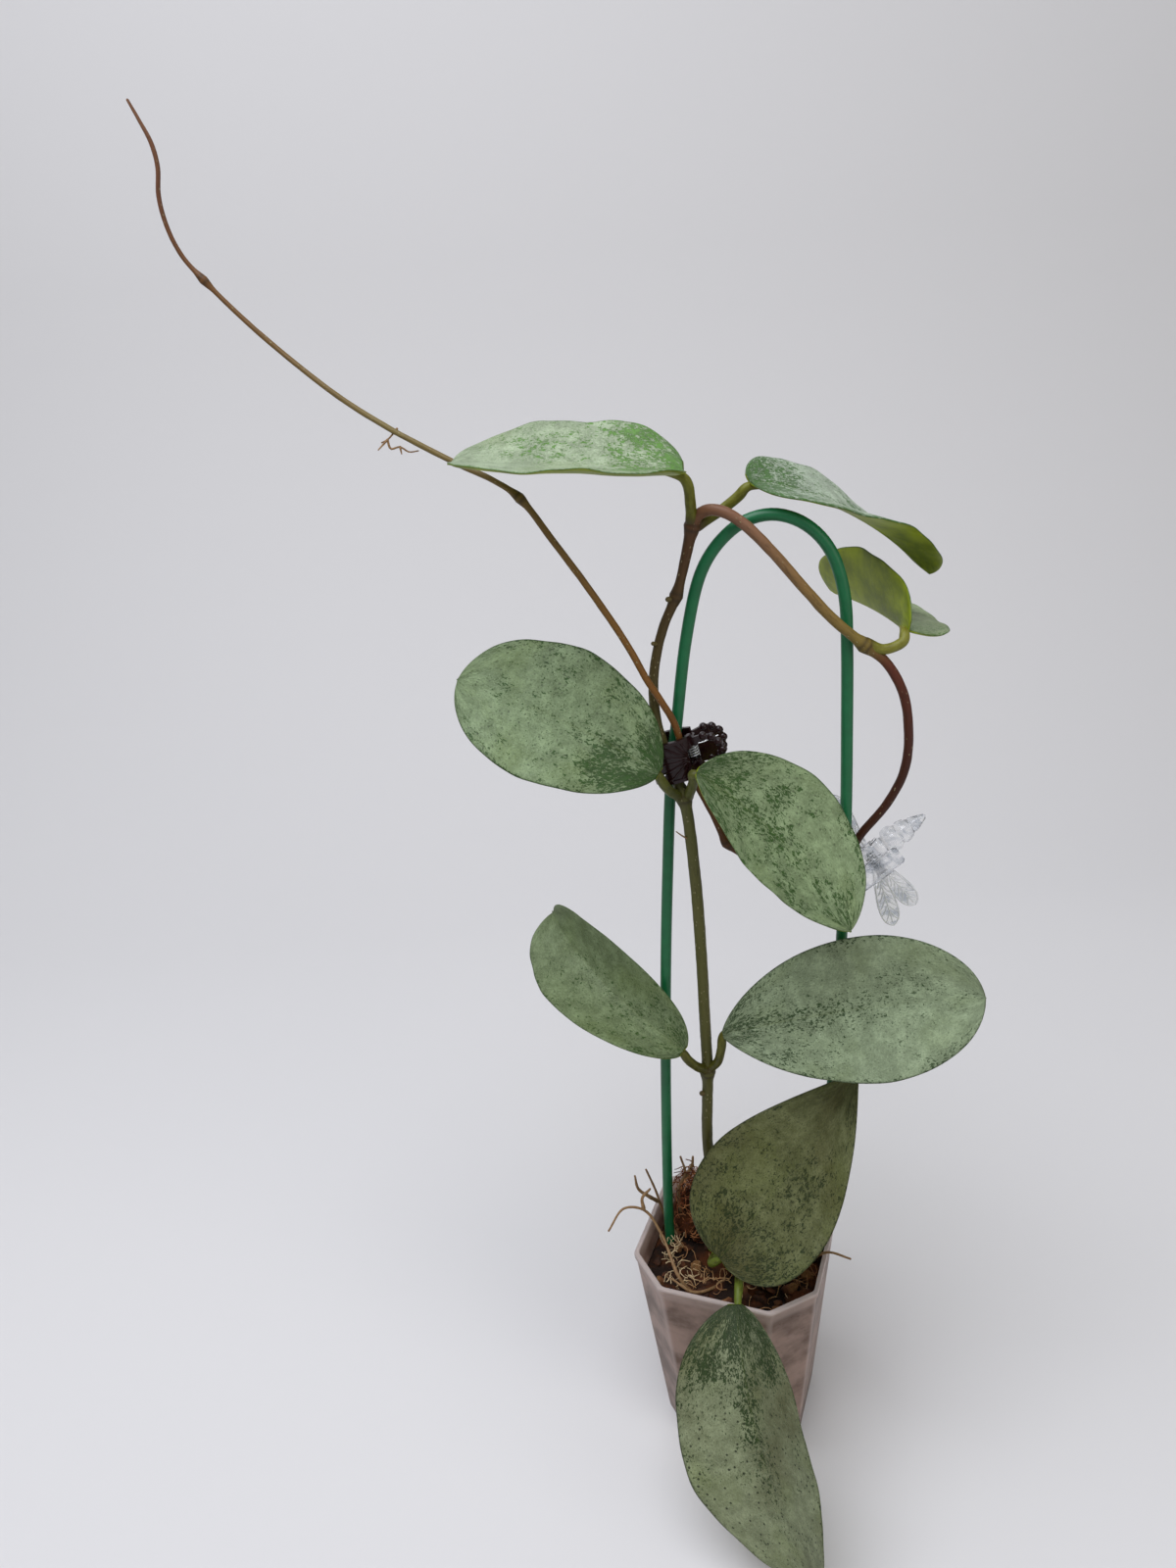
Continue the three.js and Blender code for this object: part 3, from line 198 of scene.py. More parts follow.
# Each leaf's form: length and width; how the midrib arches down, sweeps left and twists; how the halves
# fold up at base and tip and curl; how full the outline is at each end, how lopsided; its wavy margin
FORM_COLUMNS = "length width arch sweep twist fold fold_tip curl base_full tip_full lopsided wave waves"
LEAF_FORMS = table(FORM_COLUMNS, {
    "leaf_a_front":   (80.5, 44.2,   37,     8,   17,   18,    6,   14, 0.61, 0.73, -0.09, 0.9, 2.5),
    "leaf_a_upright": (75.8, 46.3,    1,   8.4,  0.8, 13.4,  3.2,   11, 0.52, 1.14,     0, 0.8, 2.2),
    "leaf_b_left":    (66.2, 33.2, 35.4, -18.3,  -39, 25.8, 15.4, 30.8, 0.46, 0.48,  0.09, 0.6, 3.4),
    "leaf_b_right":   (77.4,   43,  1.7, -12.6,  6.2,    5,    8,  5.3, 0.76, 0.54,     0, 0.8, 2.3),
    "leaf_c_left":    (61.4, 40.7, 16.7,   9.9, -0.9, 12.4,  0.6,    6, 0.61, 0.54,     0, 0.9, 2.8),
    "leaf_c_right":   (  62, 40.6,   -8,   -37,  5.2,   15,   12, 16.7, 0.65, 0.72, -0.02, 0.5, 2.4),
    "leaf_e_left":    (  58, 39.1,    5,     0,  1.5, 13.3,  5.5, 13.3, 0.43,  0.6,     0, 0.7, 2.2),
    "leaf_e_right":   (  68,   36,   34,    -8,  -24,    8,   12,    3, 0.48, 0.55,     0, 0.5, 2.4),
    "leaf_f_back":    (  64, 37.6,   12,   7.6,  -27, 37.8,   19,    3, 0.49, 0.41, -0.06, 0.6,   2),
})
LEAVES = {name: place | LEAF_FORMS[name] for name, place in LEAF_PLACES.items()}

# How the blades are shaped at their ends and margins: how rounded they are where the stalk joins, where
# the drawn-out tip sets in, both as shares of the length, and the depth of the fine ripple
BASE_BLUNTNESS = 0.006
TIP_START = 0.955
FINE_RIPPLE = 0.14

# How each leaf is marked: silver wax, the green under it, how much green shows as flecks, as a
# patch at the base, as a band along the midrib and at the margin, pale dusting, crackled wax,
# rubbed yellow areas, painted warm brown shade, pin dots, and the length of its drawn-out tip.
# The silver and green are each leaf's own tone, and darker on the lower leaves as painted shade
LEAF_MARKS = table("silver green flecks patch band edge dust crackle rubbed dull dots tip", {
    "leaf_a_front":   ("#747C5C", "#1A2B0C",  0.4, 1.05, 0.75, 0.5,  0.5, 0.8,  0.4,  0.6, 1.0, 2.0),
    "leaf_a_upright": ("#555931", "#1B240A", 0.62, 0.75,  0.5, 0.6,  0.4, 0.6,  0.2, 0.55, 0.4, 0.6),
    "leaf_b_left":    ("#697853", "#263D14", 0.35, 0.65, 0.45, 0.5, 0.45, 0.6, 0.35, 0.05, 0.2, 0.5),
    "leaf_b_right":   ("#819070", "#203416", 0.45, 0.75, 0.62, 0.7, 0.45, 1.0,  0.3,  0.1, 0.3, 0.3),
    "leaf_c_left":    ("#6F815C", "#1F3A0E",  0.4, 1.05,  0.5, 0.6, 0.45, 0.7, 0.35, 0.05, 0.5, 0.4),
    "leaf_c_right":   ("#768861", "#233E12", 0.72, 0.85, 0.72, 0.4,  0.5, 1.0, 0.35, 0.05, 0.5, 0.4),
    "leaf_e_left":    ("#8E9C7F", "#446A26", 0.55, 1.05,  0.3, 0.4,  0.5, 0.4,  0.4,  0.0, 0.2, 1.0),
    "leaf_e_right":   ("#97A58F", "#2C5214",  0.8,  1.0,  0.5, 1.0,  0.6, 0.5,  0.3,  0.0, 0.2, 0.2),
    "leaf_f_back":    ("#899970", "#3A5C18",  0.5,  0.7,  0.3, 0.6,  0.4, 0.3,  0.4,  0.0, 0.2, 0.2),
})

# Stalk colours at the stem and at the blade, by the stem node the leaves grow from
PETIOLE_COLOURS = {
    "a": ("#3A3A0C", "#5A681C"), "b": ("#3B3A0E", "#54531C"), "c": ("#45481B", "#585A26"),
    "e": ("#4E4D0C", "#66681F"), "f": ("#625F1C", "#7A7A30"),
}

# Claw clip: hinge pin at the middle, jaws towards -x, finger tabs towards +x
CLAW_HINGE = (-7.1, 3.7, 244.4)
CLAW_TILT = 13 * DEGREE
CLAW_HALF_HEIGHT = 6
CLAW_PLATE = 1
# Routes of the two jaws as (x, y), and the teeth cut into their tips
CLAW_NEAR_JAW = [
    (0.3, -2.5), (-0.6, -4.5), (-2.6, -5.8), (-5.4, -6.2), (-8.2, -6.1), (-10.4, -5.1), (-11.8, -3.2),
    (-12, -1.4),
]
CLAW_FAR_JAW = [(0.3, 2.5), (-1.5, 3.3), (-4.5, 3.7), (-8, 3.5), (-10.6, 2.3), (-11.9, 0.6)]
CLAW_TEETH = 4
CLAW_TOOTH_GAP = 1.1
CLAW_TOOTH_START = -8.6
# Raised ribs that fan out over the jaws: count, angle between them, where the fan's middle lies along
# the jaw, where a rib starts, its length and steps, its first radius and how much that grows
CLAW_RIBS = 9
CLAW_RIB_TURN = 0.33
CLAW_FAN_START = 3
CLAW_RIB_START = 1.2
CLAW_RIB_LENGTH = 8.6
CLAW_RIB_STEPS = 14
CLAW_RIB_RADIUS = 0.3
CLAW_RIB_GROWTH = 0.12
# Thickened edges of the jaws: inset from the end, how far they stand out, half their width
CLAW_EDGE_INSET = 0.5
CLAW_EDGE_RISE = 0.4
CLAW_EDGE_HALF = 0.45
# Finger tabs with their scalloped edge, and the ears that hold them on the pin, by side
CLAW_TAB_LENGTH = 8.6
CLAW_TAB_SPREAD = 17 * DEGREE
CLAW_TAB_ROOT = 2.5
CLAW_SCALLOPS = 7
CLAW_SCALLOP_RADIUS = 1.15
CLAW_BEAD_HEIGHT = 0.95
CLAW_TAB_RADIUS = 4.7
CLAW_EAR_RADIUS = 1.5
CLAW_PIN_RADIUS = 0.45
CLAW_BORE_RADIUS = 0.75
CLAW_EARS = {-1: 4.2, 1: 2.75}
CLAW_EAR_THICKNESS = 1.1
# Window in the near tab: its middle along the tab, half its length and half its height
CLAW_WINDOW = (4.4, 3, 3.6)
# Room for the coil in the near half: low and high x, y and z
CLAW_COIL_ROOM = (-1.1, 2.4, -8, 0, -2.4, 2.4)
# Spring: coil radius, wire radius, half length and turns, and the leg that lies on the tab
CLAW_SPRING = (1.35, 0.17, 1.9, 5)
CLAW_SPRING_LEG = [(1, 0.4, 1.6), (2.6, 0.6, 1.4), (7.4, 1.8, 1.9)]

# Dragonfly clip: hinge pin at the middle, jaws towards -x, tail towards +x, near lever towards +z
FLY_HINGE = (43.5, -0.6, 206.7)
FLY_PITCH = 35 * DEGREE
FLY_HALF_WIDTH = 3.3
FLY_PLATE = 1.2
# How far the far and the near plate stand from the pin, and how their jaws narrow to a hooked tip
FLY_FAR = 5
FLY_NEAR = 3.4
FLY_JAW_REACH = 17
FLY_JAW_NECK = 12.5
FLY_JAW_HALF_TIP = 2.3
FLY_HOOK = 1.2
FLY_TAIL_START = 2
# The tail's outline as (radius, distance along)
FLY_TAIL_PROFILE = [
    (0, 0), (2.4, 0.2), (3, 1.6), (2.4, 3), (3.6, 4), (3.9, 6.4), (3, 8), (3.4, 9), (3, 11),
    (2.2, 12.2), (2.3, 13), (1.6, 15), (0.8, 16.9), (0, 17.4),
]
FLY_WING_WIDTH = 6.6
FLY_WING_THICKNESS = 0.9
# Wings on each side as (length, angle swept back from square to the body)
FLY_WINGS = [(21.5, 3 * DEGREE), (24.5, -19 * DEGREE)]
FLY_LEVER_REACH = 7.5
FLY_PIN_RADIUS = 0.5
FLY_BORE_RADIUS = 0.85
# Spring: coil radius, wire radius, half length and turns
FLY_SPRING = (1.08, 0.22, 0.78, 3.5)
# Ears: thickness, and the play between the outer and the inner ones
FLY_EAR = 0.9
FLY_EAR_PLAY = 0.3
# Rounded bodies on the far plate, and the bars on the near lever
FLY_THORAX = (5, 3, 2.1)
FLY_HEAD_AT = -6.6
FLY_HEAD_RADII = (2.3, 2.3, 2.3)
FLY_GRIP_BARS = (3.8, 5, 6.2)

# Camera, as the photograph was taken
CAMERA_AT = (-0.0374, -0.29955, 0.3630)
CAMERA_PITCH = 22.618 * DEGREE
CAMERA_ROLL = 4.637 * DEGREE
CAMERA_LENS = 35.571

# Stage in metres: the floor's front edge and half width, the bend at its back and the backdrop's top
FLOOR_FRONT = -1.6
FLOOR_HALF_WIDTH = 2.2
FLOOR_BEND = 0.4
BACKDROP_TOP = 2.6
# Lights as (place, aim, size)
KEY_LIGHT = ((-0.25, -0.25, 1.15), (0, 0.05, 0.15), (1.0, 0.8))
FILL_LIGHT = ((0.9, -0.9, 0.6), (0, 0, 0.2), (0.8, 0.8))


# Colours and materials


def colour(text):
    """A colour written as #RRGGBB, as linear red, green, blue and alpha."""
    parts = [int(text[i : i + 2], 16) / 255 for i in (1, 3, 5)]
    return tuple(c / 12.92 if c <= 0.04045 else ((c + 0.055) / 1.055) ** 2.4 for c in parts) + (1,)


def arithmetic(operation, reflected=False):
    """A method of Value for one operation, with its terms swapped where it is reflected."""

    def work(self, other):
        return self.paint.math(operation, *((other, self) if reflected else (self, other)))

    return work


class Value:
    """A number, vector or colour that runs through a material, with arithmetic on numbers."""

    def __init__(self, paint, socket):
        self.paint = paint
        self.socket = socket

    __add__, __radd__ = arithmetic("ADD"), arithmetic("ADD", True)
    __sub__, __rsub__ = arithmetic("SUBTRACT"), arithmetic("SUBTRACT", True)
    __mul__, __rmul__ = arithmetic("MULTIPLY"), arithmetic("MULTIPLY", True)
    __truediv__, __rtruediv__ = arithmetic("DIVIDE"), arithmetic("DIVIDE", True)

    def __abs__(self):
        return self.paint.math("ABSOLUTE", self)


class Paint:
    """One procedural material and the nodes that make it."""

    def __init__(self, name):
        self.material = bpy.data.materials.new(name)
        self.material.use_nodes = True
        self.tree = self.material.node_tree
        self.surface = self.tree.nodes["Principled BSDF"]

    def feed(self, socket, value):
        """Links a running value to a socket, or sets a fixed one on it."""
        if isinstance(value, Value):
            self.tree.links.new(value.socket, socket)
        else:
            socket.default_value = value

    def node(self, kind, settings=(), inputs=(), output=0):
        """Any node: its settings or its ramp's stops come first, then its inputs; gives one output."""
        made = self.tree.nodes.new(kind)
        for name, value in dict(settings).items():
            if name != "stops":
                setattr(made, name, value)
                continue
            elements = made.color_ramp.elements
            while len(elements) < len(value):
                elements.new(0.5)
            for element, (at, shade) in zip(elements, value):
                element.position, element.color = at, shade
        for name, value in dict(inputs).items():
            self.feed(made.inputs[name], value)
        return Value(self, made.outputs[output])

    def math(self, operation, *terms):
        return self.node("ShaderNodeMath", {"operation": operation}, dict(enumerate(terms)))

    def highest(self, a, b):
        return self.math("MAXIMUM", a, b)

    def limit(self, value):
        return self.node("ShaderNodeClamp", (), {"Value": value})

    def mix(self, factor, a, b):
        return self.node("ShaderNodeMix", {"data_type": "RGBA"}, {0: factor, 6: a, 7: b}, 2)

    def vector(self, operation, a, b):
        return self.node("ShaderNodeVectorMath", {"operation": operation}, {0: a, 1: b})

    def stretch(self, point, x, y, z):
        return self.vector("MULTIPLY", point, (x, y, z))

    def here(self):
        """The point itself, in metres: the pieces stand in the frame, unturned and unscaled."""
        return self.node("ShaderNodeTexCoord", output="Object")

    def attribute(self, name):
        return self.node("ShaderNodeAttribute", {"attribute_name": name}, (), "Vector")

    def parts(self, point):
        """The three numbers of a vector."""
        split = self.node("ShaderNodeSeparateXYZ", (), {"Vector": point}).socket.node
        return [Value(self, out) for out in split.outputs]

    def noise(self, point, scale, detail=2.0, roughness=0.5, distortion=0.0):
        inputs = {"Vector": point, "Scale": scale, "Detail": detail, "Roughness": roughness}
        return self.node("ShaderNodeTexNoise", (), inputs | {"Distortion": distortion})

    def cells(self, point, scale, feature="F1", dimensions="3D"):
        settings = {"feature": feature, "voronoi_dimensions": dimensions}
        return self.node("ShaderNodeTexVoronoi", settings, {"Vector": point, "Scale": scale}, "Distance")

    def rise(self, value, low, high):
        """Climbs softly from 0 at low to 1 at high."""
        settings = {"interpolation_type": "SMOOTHSTEP"}
        return self.node("ShaderNodeMapRange", settings, {"Value": value, "From Min": low, "From Max": high})

    def ramp(self, value, stops):
        return self.node("ShaderNodeValToRGB", {"stops": stops}, {"Fac": value})

    def bump(self, height, distance, strength=1.0):
        return self.node("ShaderNodeBump", (), {"Height": height, "Distance": distance, "Strength": strength})

    def finish(self, **inputs):
        """Sets the surface's inputs, named with underscores for spaces."""
        for name, value in inputs.items():
            self.feed(self.surface.inputs[name.replace("_", " ")], value)
        return self.material


# Routes, frames and meshes


def lerp(a, b, share):
    return a + (b - a) * share


def smooth(value, low, high):
    share = min(max((value - low) / (high - low), 0), 1)
    return share * share * (3 - 2 * share)


def at_stops(stops, share):
    """The value at a share, between the stops around it."""
    for (a, low), (b, high) in zip(stops, stops[1:]):
        if share <= b:
            return lerp(low, high, (share - a) / (b - a))
    return stops[-1][1]


def curve_points(route, splits=16):
    """Points along a smooth line through every point of a route."""
    points = [Vector(p) for p in route]
    ends = [2 * points[0] - points[1]] + points + [2 * points[-1] - points[-2]]
    made = []
    for i in range(len(points) - 1):
        p0, p1, p2, p3 = ends[i : i + 4]
        d0, d1, d2 = (math.sqrt((b - a).length) for a, b in ((p0, p1), (p1, p2), (p2, p3)))
        t1 = ((p1 - p0) / d0 - (p2 - p0) / (d0 + d1) + (p2 - p1) / d1) * d1
        t2 = ((p2 - p1) / d1 - (p3 - p1) / (d1 + d2) + (p3 - p2) / d2) * d1
        for k in range(splits):
            t = k / splits
            c2 = 3 * (p2 - p1) - 2 * t1 - t2
            c3 = 2 * (p1 - p2) + t1 + t2
            made.append(p1 + t1 * t + c2 * t * t + c3 * t * t * t)
    return made + [points[-1]]


def run_lengths(points):
    total = [0.0]
    for a, b in zip(points, points[1:]):
        total.append(total[-1] + (b - a).length)
    return total


def even_points(route, step):
    """Points on a route's smooth line, evenly spaced by about a step."""
    fine = curve_points(route)
    lengths = run_lengths(fine)
    count = max(2, round(lengths[-1] / step))
    made, k = [], 0
    for i in range(count + 1):
        want = lengths[-1] * i / count
        while k < len(lengths) - 2 and lengths[k + 1] < want:
            k += 1
        made.append(fine[k].lerp(fine[k + 1], (want - lengths[k]) / (lengths[k + 1] - lengths[k])))
    return made


def carried_frames(points):
    """At each point, the direction along and two directions across that turn as little as they can."""
    tangents = [
        (points[min(i + 1, len(points) - 1)] - points[max(i - 1, 0)]).normalized() for i in range(len(points))
    ]
    across = tangents[0].orthogonal().normalized()
    frames = []
    for tangent in tangents:
        across = (across - tangent * across.dot(tangent)).normalized()
        frames.append((tangent, across, tangent.cross(across)))
    return frames


class Shape:
    """Points in millimetres, faces, and what each point says to its material."""

    def __init__(self):
        self.points = []
        self.faces = []
        self.paints = []
        self.notes = {}

    def point(self, at, **notes):
        for name, value in notes.items():
            self.notes.setdefault(name, {})[len(self.points)] = value
        self.points.append(Vector(at))
        return len(self.points) - 1

    def mark(self, first, spot):
        """Gives every point from the first on the same spot."""
        for k in range(first, len(self.points)):
            self.notes["spot"][k] = spot

    def face(self, *corners, paint=0):
        self.faces.append(corners)
        self.paints.append(paint)

    def join_rings(self, lower, upper, paint=0):
        """Faces between two closed rings of the same count, turning left about the way up."""
        count = len(lower)
        for j in range(count):
            k = (j + 1) % count
            self.face(lower[j], lower[k], upper[k], upper[j], paint=paint)

    def close_ring(self, ring, pole, up, paint=0):
        for j in range(len(ring)):
            k = (j + 1) % len(ring)
            corners = (ring[j], ring[k], pole) if up else (ring[k], ring[j], pole)
            self.face(*corners, paint=paint)

    def join_all(self, rings, first=None, last=None, paint=0):
        """Faces between all the rings, from the lowest up, closed at a pole at either end if given."""
        for lower, upper in zip(rings, rings[1:]):
            self.join_rings(lower, upper, paint)
        if first is not None:
            self.close_ring(rings[0], first, False, paint)
        if last is not None:
            self.close_ring(rings[-1], last, True, paint)

    def mesh(self, name, materials=()):
        made = bpy.data.meshes.new(name)
        made.from_pydata([p * MM for p in self.points], [], self.faces)
        for material in materials:
            made.materials.append(material)
        made.polygons.foreach_set("material_index", self.paints)
        made.polygons.foreach_set("use_smooth", [True] * len(self.faces))
        for key, values in self.notes.items():
            layer = made.attributes.new(key, "FLOAT_VECTOR", "POINT")
            for i, value in values.items():
                layer.data[i].vector = value
        made.validate()
        made.update()
        return made

    def mesh_in_mm(self, name):
        """The mesh in millimetres, to be cut, joined or placed."""
        made = self.mesh(name)
        made.transform(Matrix.Scale(1 / MM, 4))
        return made


def add_object(name, data):
    made = bpy.data.objects.new(name, data)
    bpy.context.scene.collection.objects.link(made)
    return made


def settle(piece, body, slot, *nodes):
    """Ties a finished piece to its body and hides the nodes it stands for; its finish, the slot, is not used.
    """
    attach(piece, body)
    if nodes:
        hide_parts(*nodes)
    return piece


def add_tube(shape, points, radius_at, sides, paint=0, dome=3):
    """A round tube along points, with rounded ends. radius_at takes the index, the run and the angle."""
    frames = carried_frames(points)
    runs = run_lengths(points)

    def ring(i, centre, scale):
        _, across, over = frames[i]
        made = []
        for j in range(sides):
            angle = 2 * math.pi * j / sides
            radius = radius_at(i, runs[i], angle) * scale
            offset = across * (math.cos(angle) * radius) + over * (math.sin(angle) * radius)
            share = runs[i] / runs[-1]
            place = (runs[i], radius * math.cos(angle), radius * math.sin(angle))
            made.append(shape.point(centre + offset, place=place, spot=(share, 0, 0)))
        return made

    rings = []
    last = len(points) - 1
    for i, back in ((0, -1), (last, 1)):
        along = frames[i][0] * back
        radius = radius_at(i, runs[i], 0)
        caps = []
        for k in range(1, dome):
            turn = math.pi / 2 * k / dome
            caps.append(ring(i, points[i] + along * (radius * math.sin(turn)), math.cos(turn)))
        share = runs[i] / runs[-1]
        pole = shape.point(points[i] + along * radius, place=(runs[i], 0, 0), spot=(share, 0, 0))
        rings.append((caps, pole))
    body = [ring(i, points[i], 1) for i in range(len(points))]
    shape.join_all(rings[0][0][::-1] + body + rings[1][0], rings[0][1], rings[1][1], paint)


def add_ball(shape, centre, radii, rows, columns, rough=0.0):
    """An ellipsoid, roughened by noise."""

    def put(theta, phi):
        flat = math.sin(theta)
        direction = Vector((flat * math.cos(phi), flat * math.sin(phi), math.cos(theta)))
        swell = 1 + rough * noise.fractal(direction * 1.7 + Vector(centre) * 0.37, 0.8, 2.1, 3)
        local = Vector(d * r for d, r in zip(direction, radii)) * swell
        return shape.point(Vector(centre) + local)

    rings = []
    for i in range(1, rows):
        rings.append([put(math.pi * (1 - i / rows), 2 * math.pi * j / columns) for j in range(columns)])
    shape.join_all(rings, put(math.pi, 0), put(0, 0))


# Solid pieces cut and joined from plates


def plate(outline, low, high, holes=()):
    """A flat plate in millimetres from an outline in x and y, between two heights."""
    shape = bmesh.new()
    for ring in (outline, *holes):
        corners = [shape.verts.new((x, y, low)) for x, y in ring]
        for a, b in zip(corners, corners[1:] + corners[:1]):
            shape.edges.new((a, b))
    bmesh.ops.triangle_fill(shape, edges=shape.edges[:], use_beauty=True)
    made = bmesh.ops.extrude_face_region(shape, geom=shape.faces[:])
    moved = [e for e in made["geom"] if isinstance(e, bmesh.types.BMVert)]
    bmesh.ops.translate(shape, verts=moved, vec=(0, 0, high - low))
    bmesh.ops.recalc_face_normals(shape, faces=shape.faces[:])
    return keep(shape, "plate")


def keep(shape, name):
    made = bpy.data.meshes.new(name)
    shape.to_mesh(made)
    shape.free()
    return made


def block(x0, x1, y0, y1, z0, z1):
    return plate([(x0, y0), (x1, y0), (x1, y1), (x0, y1)], z0, z1)


def rod(radius, low, high, sides=32):
    turns = [2 * math.pi * i / sides for i in range(sides)]
    return plate([(radius * math.cos(turn), radius * math.sin(turn)) for turn in turns], low, high)


def moved(mesh, matrix):
    mesh.transform(matrix)
    return mesh


def band(middle, thickness, low, high):
    """A bent strip of even thickness along a smooth line in x and y."""
    line = [p.to_2d() for p in curve_points([(x, y, 0) for x, y in middle], 5)]
    sides = ([], [])
    for i, at in enumerate(line):
        along = (line[min(i + 1, len(line) - 1)] - line[max(i - 1, 0)]).normalized()
        out = Vector((-along.y, along.x)) * thickness / 2
        sides[0].append(at + out)
        sides[1].append(at - out)
    return plate([tuple(p) for p in sides[0] + sides[1][::-1]], low, high)


def combine(first, *others):
    """Joins or cuts closed meshes: others are ("UNION" or "DIFFERENCE", mesh) pairs."""
    base = add_object("work", first)
    helpers = []
    for operation, mesh in others:
        helper = add_object("work", mesh)
        helpers.append(helper)
        modifier = base.modifiers.new("combine", "BOOLEAN")
        modifier.solver = "MANIFOLD"
        modifier.operation = operation
        modifier.object = helper
    graph = bpy.context.evaluated_depsgraph_get()
    made = bpy.data.meshes.new_from_object(base.evaluated_get(graph), depsgraph=graph)
    for helper in [base, *helpers]:
        bpy.data.objects.remove(helper)
    return made


def in_order(mesh):
    """The same mesh with its points and faces sorted: the solver's own order changes from run to run."""
    places = [[round(value, 4) for value in (-p.co.x, -p.co.z, p.co.y)] for p in mesh.vertices]
    order = sorted(range(len(places)), key=lambda i: places[i])
    rank = {old: new for new, old in enumerate(order)}
    faces = []
    for face in mesh.polygons:
        corners = [rank[i] for i in face.vertices]
        first = corners.index(min(corners))
        faces.append(corners[first:] + corners[:first])
    made = bpy.data.meshes.new(mesh.name)
    made.from_pydata([mesh.vertices[i].co for i in order], [], sorted(faces))
    return made


def rounded(mesh, width, angle=32):
    """Softens a mesh's sharp edges and gives it smooth shading between them."""
    shape = bmesh.new()
    shape.from_mesh(in_order(mesh))
    bmesh.ops.remove_doubles(shape, verts=shape.verts[:], dist=0.02)
    bmesh.ops.dissolve_limit(shape, angle_limit=2 * DEGREE, verts=shape.verts[:], edges=shape.edges[:])
    piece = add_object("work", keep(shape, "work"))
    modifier = piece.modifiers.new("round", "BEVEL")
    modifier.width = width
    modifier.segments = 2
    modifier.limit_method = "ANGLE"
    modifier.angle_limit = angle * DEGREE
    piece.modifiers.new("weights", "WEIGHTED_NORMAL")
    for face in piece.data.polygons:
        face.use_smooth = True
    graph = bpy.context.evaluated_depsgraph_get()
    made = bpy.data.meshes.new_from_object(piece.evaluated_get(graph), depsgraph=graph)
    bpy.data.objects.remove(piece)
    return made


def placed(mesh, name, basis, material):
    """A mesh drawn in millimetres, as about a clip's hinge, put in its place in metres."""
    mesh.transform(basis)
    mesh.transform(Matrix.Scale(MM, 4))
    mesh.materials.clear()
    mesh.materials.append(material)
    return add_object(name, mesh)


def basis_of(across, away, up, hinge):
    matrix = Matrix((across, away, up)).transposed().to_4x4()
    matrix.translation = Vector(hinge)
    return matrix


# Leaves


def outline_fullness(leaf, share):
    """How wide the blade is at a share of its length, from 0 to 1."""
    if not 0 < share < 1:
        return 0
    low, high = leaf["base_full"], leaf["tip_full"]
    peak = low / (low + high)
    share += BASE_BLUNTNESS * (1 - share) ** 8
    return share**low * (1 - share) ** high / (peak**low * (1 - peak) ** high)


def midrib_frames(leaf, shares):
    """The midrib's points and directions from base to tip."""
    heading, rise = leaf["heading"] * DEGREE, leaf["rise"] * DEGREE
    along = Vector((math.cos(rise) * math.cos(heading), math.cos(rise) * math.sin(heading), math.sin(rise)))
    normal = Vector((
        -math.sin(rise) * math.cos(heading), -math.sin(rise) * math.sin(heading), math.cos(rise)))
    normal = Matrix.Rotation(leaf["roll"] * DEGREE, 3, along) @ normal
    left = normal.cross(along)
    at = Vector(leaf["base"])
    frames = []
    for i, share in enumerate(shares):
        frames.append((share, at.copy(), along.copy(), left.copy(), normal.copy()))
        run = (shares[i + 1] if i + 1 < len(shares) else share) - share
        bend, sweep, twist = (leaf[key] * run * DEGREE for key in ("arch", "sweep", "twist"))
        middle = Matrix.Rotation(sweep / 2, 3, normal) @ (Matrix.Rotation(bend / 2, 3, left) @ along)
        at = at + middle * leaf["length"] * run
        bender = Matrix.Rotation(bend, 3, left)
        along, normal = bender @ along, bender @ normal
        sweeper = Matrix.Rotation(sweep, 3, normal)
        along, left = sweeper @ along, sweeper @ left
        normal = Matrix.Rotation(twist, 3, along) @ normal
        left = normal.cross(along)
    return frames


def blade_point(leaf, at_frame, v, tip_share, look):
    """A point of the blade's middle surface: v runs from -1 at the right margin to 1 at the left."""
    share, at, _, left, normal = at_frame
    side = math.copysign(1, v)
    out = abs(v)
    full = outline_fullness(leaf, share)
    wide = leaf["width"] / 2 * full
    drip = 0
    if share > TIP_START:
        reach = (share - TIP_START) / (tip_share - TIP_START)
        drip = look.tip_width / MM * (1 - reach) ** 0.75 * smooth(share, TIP_START, TIP_START + 0.03)
    half = (wide**3 + drip**3) ** (1 / 3) * (1 + leaf["lopsided"] * side)
    fold = leaf["fold"] + (leaf["fold_tip"] - leaf["fold"]) * min(share, 1) + leaf["curl"] * out / 2
    turn = 2 * math.pi * leaf["waves"] * share + 1.1 * side
    lift = leaf["wave"] * out * out * full * math.sin(turn)
    lift += FINE_RIPPLE * out**3 * full * math.sin(2.7 * turn + side)
    soft = look.fold_softness
    risen = (math.hypot(out, soft) - soft) / (math.hypot(1, soft) - soft)
    lift += half * risen * math.sin(fold * DEGREE)
    return at + left * (side * half * out * math.cos(fold * DEGREE)) + normal * lift


